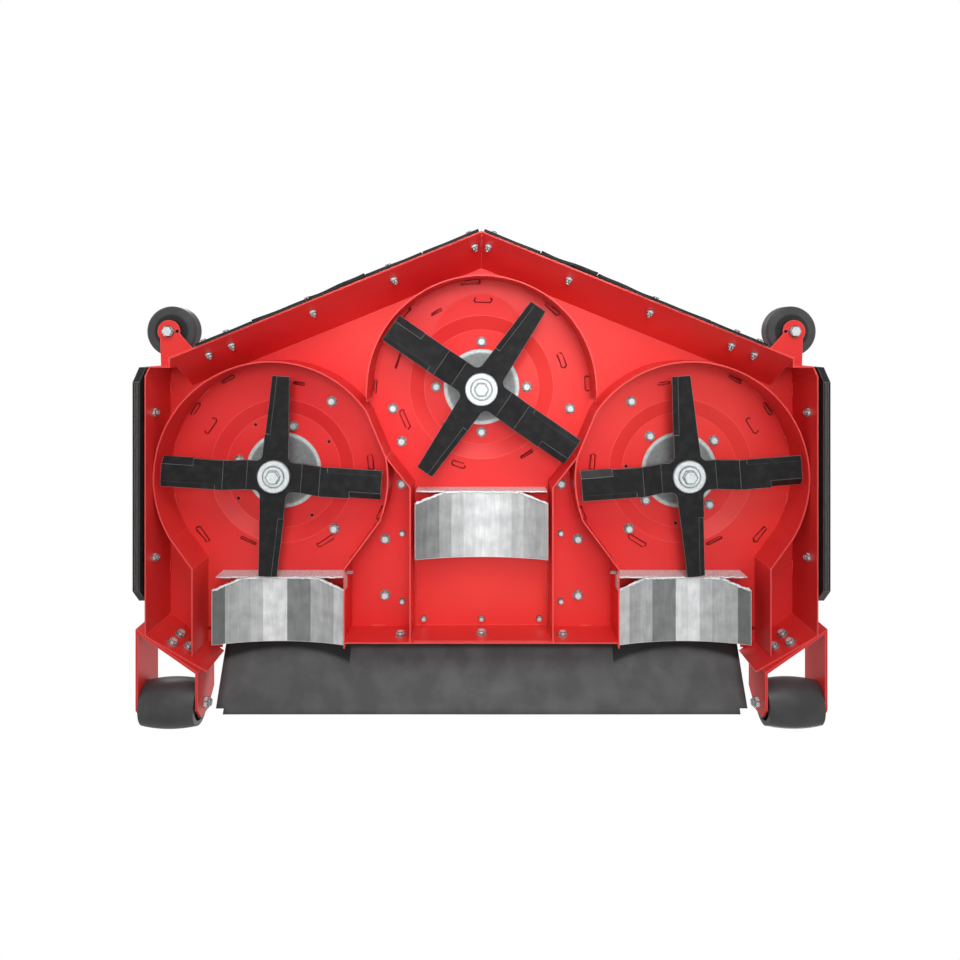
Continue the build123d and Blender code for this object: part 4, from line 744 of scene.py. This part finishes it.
# %% Bent front flaps
def bent_flap(sign, number, swing, twist):
    """One flap: its free edge swings out, more at one end than at the other."""
    along = Vector((sign * cos(slope), sin(slope), 0))
    outward = Vector((sign * sin(slope), -cos(slope), 0))
    start = flap_start + number * (flap_length + flap_gap)
    columns, rows = 14, 8
    vertices, faces = [], []
    for face in (0, 1):
        for i in range(columns + 1):
            for j in range(rows + 1):
                share, fall = i / columns, j / rows
                end_lift = twist * (2 * share - 1) + 0.35 * abs(2 * share - 1) ** 3
                bend = fall**1.8 * swing * (1 + end_lift + 0.25 * sin(9 * share + 2 * number))
                reach = outer_n - (flap_sheet if face else 0) + max(0.0, bend)
                z = flap_high.z - fall * (flap_high.z - flap_low.z) + 0.4 * max(0.0, bend) * fall
                run = start + share * flap_length
                vertices.append(run * along + reach * outward + Vector((0, 0, z)))
    side = (columns + 1) * (rows + 1)
    for i in range(columns):
        for j in range(rows):
            a = i * (rows + 1) + j
            b, c, d = a + 1, a + rows + 2, a + rows + 1
            faces.append((a, b, c, d))
            faces.append((side + d, side + c, side + b, side + a))
    edge = [i * (rows + 1) for i in range(columns + 1)]
    edge += [columns * (rows + 1) + j for j in range(1, rows + 1)]
    edge += [i * (rows + 1) + rows for i in range(columns - 1, -1, -1)]
    edge += [j for j in range(rows - 1, 0, -1)]
    for k, a in enumerate(edge):
        b = edge[(k + 1) % len(edge)]
        faces.append((a, side + a, side + b, b))
    return vertices, faces


# How far each free edge stands off and how unevenly, from the nose outwards on each side.
swings = {1: (0.0010, 0.0045, 0.0030, 0.0012, 0.0008), -1: (0.0010, 0.0015, 0.0040, 0.0020, 0.0010)}
twists = {1: (0.2, 0.5, -0.6, 0.3, -0.2), -1: (-0.3, 0.6, -0.5, 0.5, 0.1)}
flaps = []
for sign in (1, -1):
    for number in range(flap_count):
        flaps.append(bent_flap(sign, number, swings[sign][number], twists[sign][number]))
front_rubber = add_piece("bent_front_flaps", flaps, finishes["flap_edge"])
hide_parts("front_flaps")

# %% [markdown]
# ## The rear flap
# One wide belt of rubber closes the rear. Its lower corners are notched, so that they clear the
# roller bolts, and the belt is a little wavy. A flat board would show none of that, so the flap
# is a grid of cells along the lip's slope, with the two corner cells left out.

# %% A sheet from a grid of cells
def slab(place, columns, rows, left_out):
    """A sheet of two faces over a grid of cells, closed along its outline."""
    width = rows + 1
    count = (columns + 1) * width
    vertices = [
        place(i, j, face) for face in (0, 1) for i in range(columns + 1) for j in range(width)
    ]
    faces, sides = [], {}
    for i in range(columns):
        for j in range(rows):
            if (i, j) in left_out:
                continue
            ring = (i * width + j, i * width + j + 1, (i + 1) * width + j + 1, (i + 1) * width + j)
            faces.append(ring)
            faces.append(tuple(count + k for k in reversed(ring)))
            for a, b in zip(ring, ring[1:] + ring[:1]):
                if (b, a) in sides:
                    del sides[(b, a)]
                else:
                    sides[(a, b)] = True
    faces += [(b, a, count + a, count + b) for a, b in sides]
    used = sorted({k for face in faces for k in face})
    place_of = {k: n for n, k in enumerate(used)}
    return [vertices[k] for k in used], [tuple(place_of[k] for k in face) for face in faces]


# %% Wavy rear flap with notched corners
rear_low, rear_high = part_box("rear_flap")
lip = radians(30.0)  # how far the plate's rear lip slopes down
rear_half, rear_length, rear_sheet = 0.646, 0.194, 0.005
notch_x, notch_s = 0.019, 0.013
inner_columns, inner_rows = 60, 16
across_marks = [-rear_half] + [
    (rear_half - notch_x) * (2 * i / inner_columns - 1) for i in range(inner_columns + 1)
] + [rear_half]
down_marks = [
    (rear_length - notch_s) * j / inner_rows for j in range(inner_rows + 1)
] + [rear_length]
start_y, start_z = rear_low.y, rear_high.z - rear_sheet * cos(lip)


def rear_place(i, j, face):
    """A point of the flap: along the slope, then off it by the wave and the sheet."""
    x, run = across_marks[i], down_marks[j]
    free = max(0.0, run - 0.03) / rear_length
    wave = 0.0016 * free * (sin(7.3 * x + 0.6) + 0.6 * sin(17.0 * x + 9 * free))
    off = wave + (rear_sheet if face else 0.0)
    y = start_y + run * cos(lip) + off * sin(lip)
    return Vector((x, y, start_z - run * sin(lip) + off * cos(lip)))


columns, rows = len(across_marks) - 1, len(down_marks) - 1
notches = {(0, inner_rows), (columns - 1, inner_rows)}
rear_parts = slab(rear_place, columns, rows, notches)
print("rear flap", columns, "by", rows, "cells")

# %% [markdown]
# ## The dark arcs on the rear flap
# The photograph shows a dark arc on the flap under each side hood, in the line of the arch: the
# hood's shadow. Here it is a painted shadow in the rubber's tone, dark on one side of a
# parabola. It may be rubber that the cuttings have polished, or the hood's shadow. Either way
# it is a tone in the rubber here, dark on one side of a parabola. The tone goes by place alone,
# so it also shows on the flap's upper face, where the real one has no reason to be dark.

# %% Rubber with a painted shadow under the hoods
arc_bend, arc_half, arc_drop, arc_fade = 1.1, 0.166, 0.033, 0.009


def hood_shadow_rubber():
    """The flap's rubber, with a painted shadow in an arc under each side hood."""
    material = finishes["flap_rubber"].copy()
    material.name = "rear flap rubber"
    shader = material.node_tree.nodes["Principled BSDF"]
    nodes, links = material.node_tree.nodes, material.node_tree.links
    place = nodes.new("ShaderNodeTexCoord")
    parts = nodes.new("ShaderNodeSeparateXYZ")
    links.new(place.outputs["Object"], parts.inputs["Vector"])
    hood_low, hood_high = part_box("discharge_hood_left")
    hood_x = (hood_low.x + hood_high.x) / 2
    aside = reckon(material, "ABSOLUTE", parts.outputs["X"])
    off = reckon(material, "SUBTRACT", aside, hood_x)
    drop = reckon(material, "MULTIPLY", reckon(material, "MULTIPLY", off, off), arc_bend)
    under = reckon(material, "LESS_THAN", reckon(material, "ABSOLUTE", off), arc_half)
    line = reckon(material, "MULTIPLY", drop, under)
    behind = reckon(material, "SUBTRACT", parts.outputs["Y"], start_y + arc_drop)
    past = reckon(material, "SUBTRACT", behind, line)
    # Painted shadow of each hood's arch: dark on one side of the parabola.
    tone = ramp(material, past, (0.22, 0.22, 0.22), (1.0, 1.0, 1.0), 0.0, arc_fade)
    plain = shader.inputs["Base Color"].links[0].from_socket
    links.new(darken(material, plain, tone), shader.inputs["Base Color"])
    return material


rear_rubber = add_piece("wavy_rear_flap", [rear_parts], hood_shadow_rubber())
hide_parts("rear_flap")

# %% [markdown]
# ## Tabs of the plate
# The plate runs on behind each chute's outer wall, up to the roller bracket, as a tab 37 mm
# wide. It is flat sheet with square edges, so a plain block at the plate's height is enough.

# %% Tabs behind the chutes
def block(low, high):
    """The vertices and faces of a box."""
    vertices = [
        (x, y, z) for x in (low[0], high[0]) for y in (low[1], high[1]) for z in (low[2], high[2])
    ]
    faces = [(0, 1, 3, 2), (4, 6, 7, 5), (0, 4, 5, 1), (2, 3, 7, 6), (0, 2, 6, 4), (1, 5, 7, 3)]
    return vertices, faces


plate_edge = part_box("rear_wall")[1].y + 0.001
tab_inner, tab_outer, tab_length, tab_sheet = 0.660, 0.697, 0.051, 0.004
tabs = []
for sign in (1, -1):
    near, far = sorted((sign * tab_inner, sign * tab_outer))
    front_corner = (near, plate_edge, plate_flat)
    rear_corner = (far, plate_edge + tab_length, plate_flat + tab_sheet)
    tabs.append(block(front_corner, rear_corner))
tab_piece = add_piece("plate_tabs", tabs, finishes["red_paint"])
tab_piece.data.shade_flat()

# %% [markdown]
# ## Dark drain holes
# The small drain holes round the spindles are dark in the photograph, with shade inside them. The
# small drain holes round the spindles are dark in the photograph, most likely closed by packed
# cuttings. Left open they would let the white studio shine through. The holes are in the plate
# already, so their rims are looked up in its points, and a thin black disc in each of them is
# painted shade.

# %% Where the drain holes are
drain_r, drain_circle, rim_width = 0.0044, 0.137, 0.0048
turn_step, same_hole, rim_turn = 3, 6, 4  # all in degrees


def bearing(point, centre):
    """The direction from a spindle to a point."""
    return atan2(point.y - centre.y, point.x - centre.x)


def hole_rims(centre):
    """The rim points of each drain hole round one spindle."""
    near = [
        v.co for v in plate_mesh.vertices
        if abs(hypot(v.co.x - centre.x, v.co.y - centre.y) - drain_circle) < rim_width
    ]
    turns = sorted({round(degrees(bearing(q, centre)) / turn_step) * turn_step for q in near})
    groups = []
    for turn in turns:
        if groups and turn - groups[-1][-1] <= same_hole:
            groups[-1].append(turn)
        else:
            groups.append([turn])
    if len(groups) > 4 and groups[0][0] + 360 - groups[-1][-1] <= same_hole:
        groups[0] = [turn - 360 for turn in groups.pop()] + groups[0]
    rims = []
    for group in groups:
        turn = radians(sum(group) / len(group))
        rims.append([
            q for q in near
            if abs((degrees(bearing(q, centre) - turn) + 180) % 360 - 180) < rim_turn
        ])
    return rims


rims = [rim for centre in spindle_places.values() for rim in hole_rims(centre)]
print("drain holes", len(rims))

# %% A disc in each drain hole
def disc(centre, radius, half, sides=20):
    """The vertices and faces of a flat round disc."""
    vertices = []
    for z in (-half, half):
        for k in range(sides):
            turn = 2 * pi * k / sides
            x, y = centre.x + radius * cos(turn), centre.y + radius * sin(turn)
            vertices.append(Vector((x, y, centre.z + z)))
    faces = [tuple(range(sides - 1, -1, -1)), tuple(range(sides, 2 * sides))]
    faces += [(k, (k + 1) % sides, sides + (k + 1) % sides, sides + k) for k in range(sides)]
    return vertices, faces


shade_discs = []
for rim in rims:
    hole = sum(rim, Vector()) / len(rim)
    hole.z = (min(q.z for q in rim) + max(q.z for q in rim)) / 2
    shade_discs.append(disc(hole, drain_r, 0.0008))
# The black discs are painted shade inside the drain holes.
drain_shade_piece = add_piece("drain_hole_shade", shade_discs, finishes["belt_rubber"])
drain_shade_piece.data.shade_flat()

# %% [markdown]
# ## Floor and light
# The deck stands on a pale floor. The photograph looks up from below it, so the floor's material
# lets the camera through from its underside, and the floor neither shades nor mirrors the deck:
# seen from below, the deck looks as if it hung free in the studio.

# %% The floor
floor_mesh = bpy.data.meshes.new("floor")
floor_half, floor_z = 12.0, -0.001
corners = [
    (floor_half * x, floor_half * y, floor_z) for x, y in ((-1, -1), (1, -1), (1, 1), (-1, 1))
]
floor_mesh.from_pydata(corners, [], [(0, 1, 2, 3)])
floor = bpy.data.objects.new("floor", floor_mesh)
scene.collection.objects.link(floor)
for ray in ("visible_diffuse", "visible_glossy", "visible_transmission", "visible_shadow"):
    setattr(floor, ray, False)
floor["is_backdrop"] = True
floor_finish, floor_shader = new_finish("pale floor", (0.86, 0.86, 0.86), 0.9)
nodes, links = floor_finish.node_tree.nodes, floor_finish.node_tree.links
clear = nodes.new("ShaderNodeBsdfTransparent")
mix = nodes.new("ShaderNodeMixShader")
geometry = nodes.new("ShaderNodeNewGeometry")
links.new(geometry.outputs["Backfacing"], mix.inputs["Fac"])
links.new(floor_shader.outputs["BSDF"], mix.inputs[1])
links.new(clear.outputs["BSDF"], mix.inputs[2])
links.new(mix.outputs["Shader"], nodes["Material Output"].inputs["Surface"])
floor.data.materials.append(floor_finish)
print("floor", 2 * floor_half, "m square")

# %% [markdown]
# ## Lamps
# The main light of the photograph comes from close to the lens and fades towards the rear, so
# the dishes are light right up to their rings and the channel between the chutes is darker. A
# weaker one stands below and in front, and leaves the inner faces of the front aprons dark.
# Large soft squares give no hard shadows. The lamp at the lens is hidden from reflections, or
# every flat sheet would mirror it. Two more light the top side, for views from above.

# %% The lamps
def lamp(name, place, aim, size, watts, spread=180.0):
    """A soft square lamp that points at a place and fades out at its spread in degrees."""
    data = bpy.data.lights.new(name, "AREA")
    data.spread = radians(spread)
    data.shape = "SQUARE"
    data.size = size
    data.energy = watts
    data.color = (1.0, 1.0, 1.0)
    obj = bpy.data.objects.new(name, data)
    scene.collection.objects.link(obj)
    obj.location = place
    direction = Vector(aim) - Vector(place)
    obj.rotation_mode = "QUATERNION"
    obj.rotation_quaternion = direction.to_track_quat("-Z", "Y")
    return obj


near_lens = lamp("below", (0.1, -0.9, -2.7), (0, -0.35, 0.1), 1.3, 5.5, 40.0)
near_lens.visible_glossy = False
lamp("below front", (0.3, -2.3, -2.1), (0, -0.1, 0.1), 1.3, 36.0)
lamp("above front", (-1.5, -2.2, 2.6), (0, 0, 0.2), 1.8, 45.0)
lamp("above rear", (1.8, 2.2, 2.4), (0, 0, 0.2), 1.8, 28.0)

# %% [markdown]
# ## The white background
# The photograph's background is plain white. More light would bleach the paint, so the world is
# white only for the camera and through clear material, and half as strong as light on the deck.

# %% The world
studio_light, white = 0.52, 1.0
world = bpy.data.worlds.new("studio")
scene.world = world
world.use_nodes = True
nodes, links = world.node_tree.nodes, world.node_tree.links
backdrop = nodes["Background"]
backdrop.inputs["Color"].default_value = (1, 1, 1, 1)
backdrop.inputs["Strength"].default_value = studio_light
shown = nodes.new("ShaderNodeBackground")
shown.inputs["Color"].default_value = (1, 1, 1, 1)
shown.inputs["Strength"].default_value = white
rays = nodes.new("ShaderNodeLightPath")
either = nodes.new("ShaderNodeMath")
either.operation = "MAXIMUM"
links.new(rays.outputs["Is Camera Ray"], either.inputs[0])
links.new(rays.outputs["Is Transmission Ray"], either.inputs[1])
choose = nodes.new("ShaderNodeMixShader")
links.new(either.outputs["Value"], choose.inputs["Fac"])
links.new(backdrop.outputs["Background"], choose.inputs[1])
links.new(shown.outputs["Background"], choose.inputs[2])
links.new(choose.outputs["Shader"], nodes["World Output"].inputs["Surface"])
scene.view_settings.view_transform = "Standard"
print("world light", studio_light, "background", white)

# %% [markdown]
# ## The scene's box
# The solids set the deck's size, and what was added here must stay inside it. The box round
# everything shown is printed.

# %% Print the scene's box
low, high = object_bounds()
print("scene box", [round(v, 4) for v in (*low, *high)])
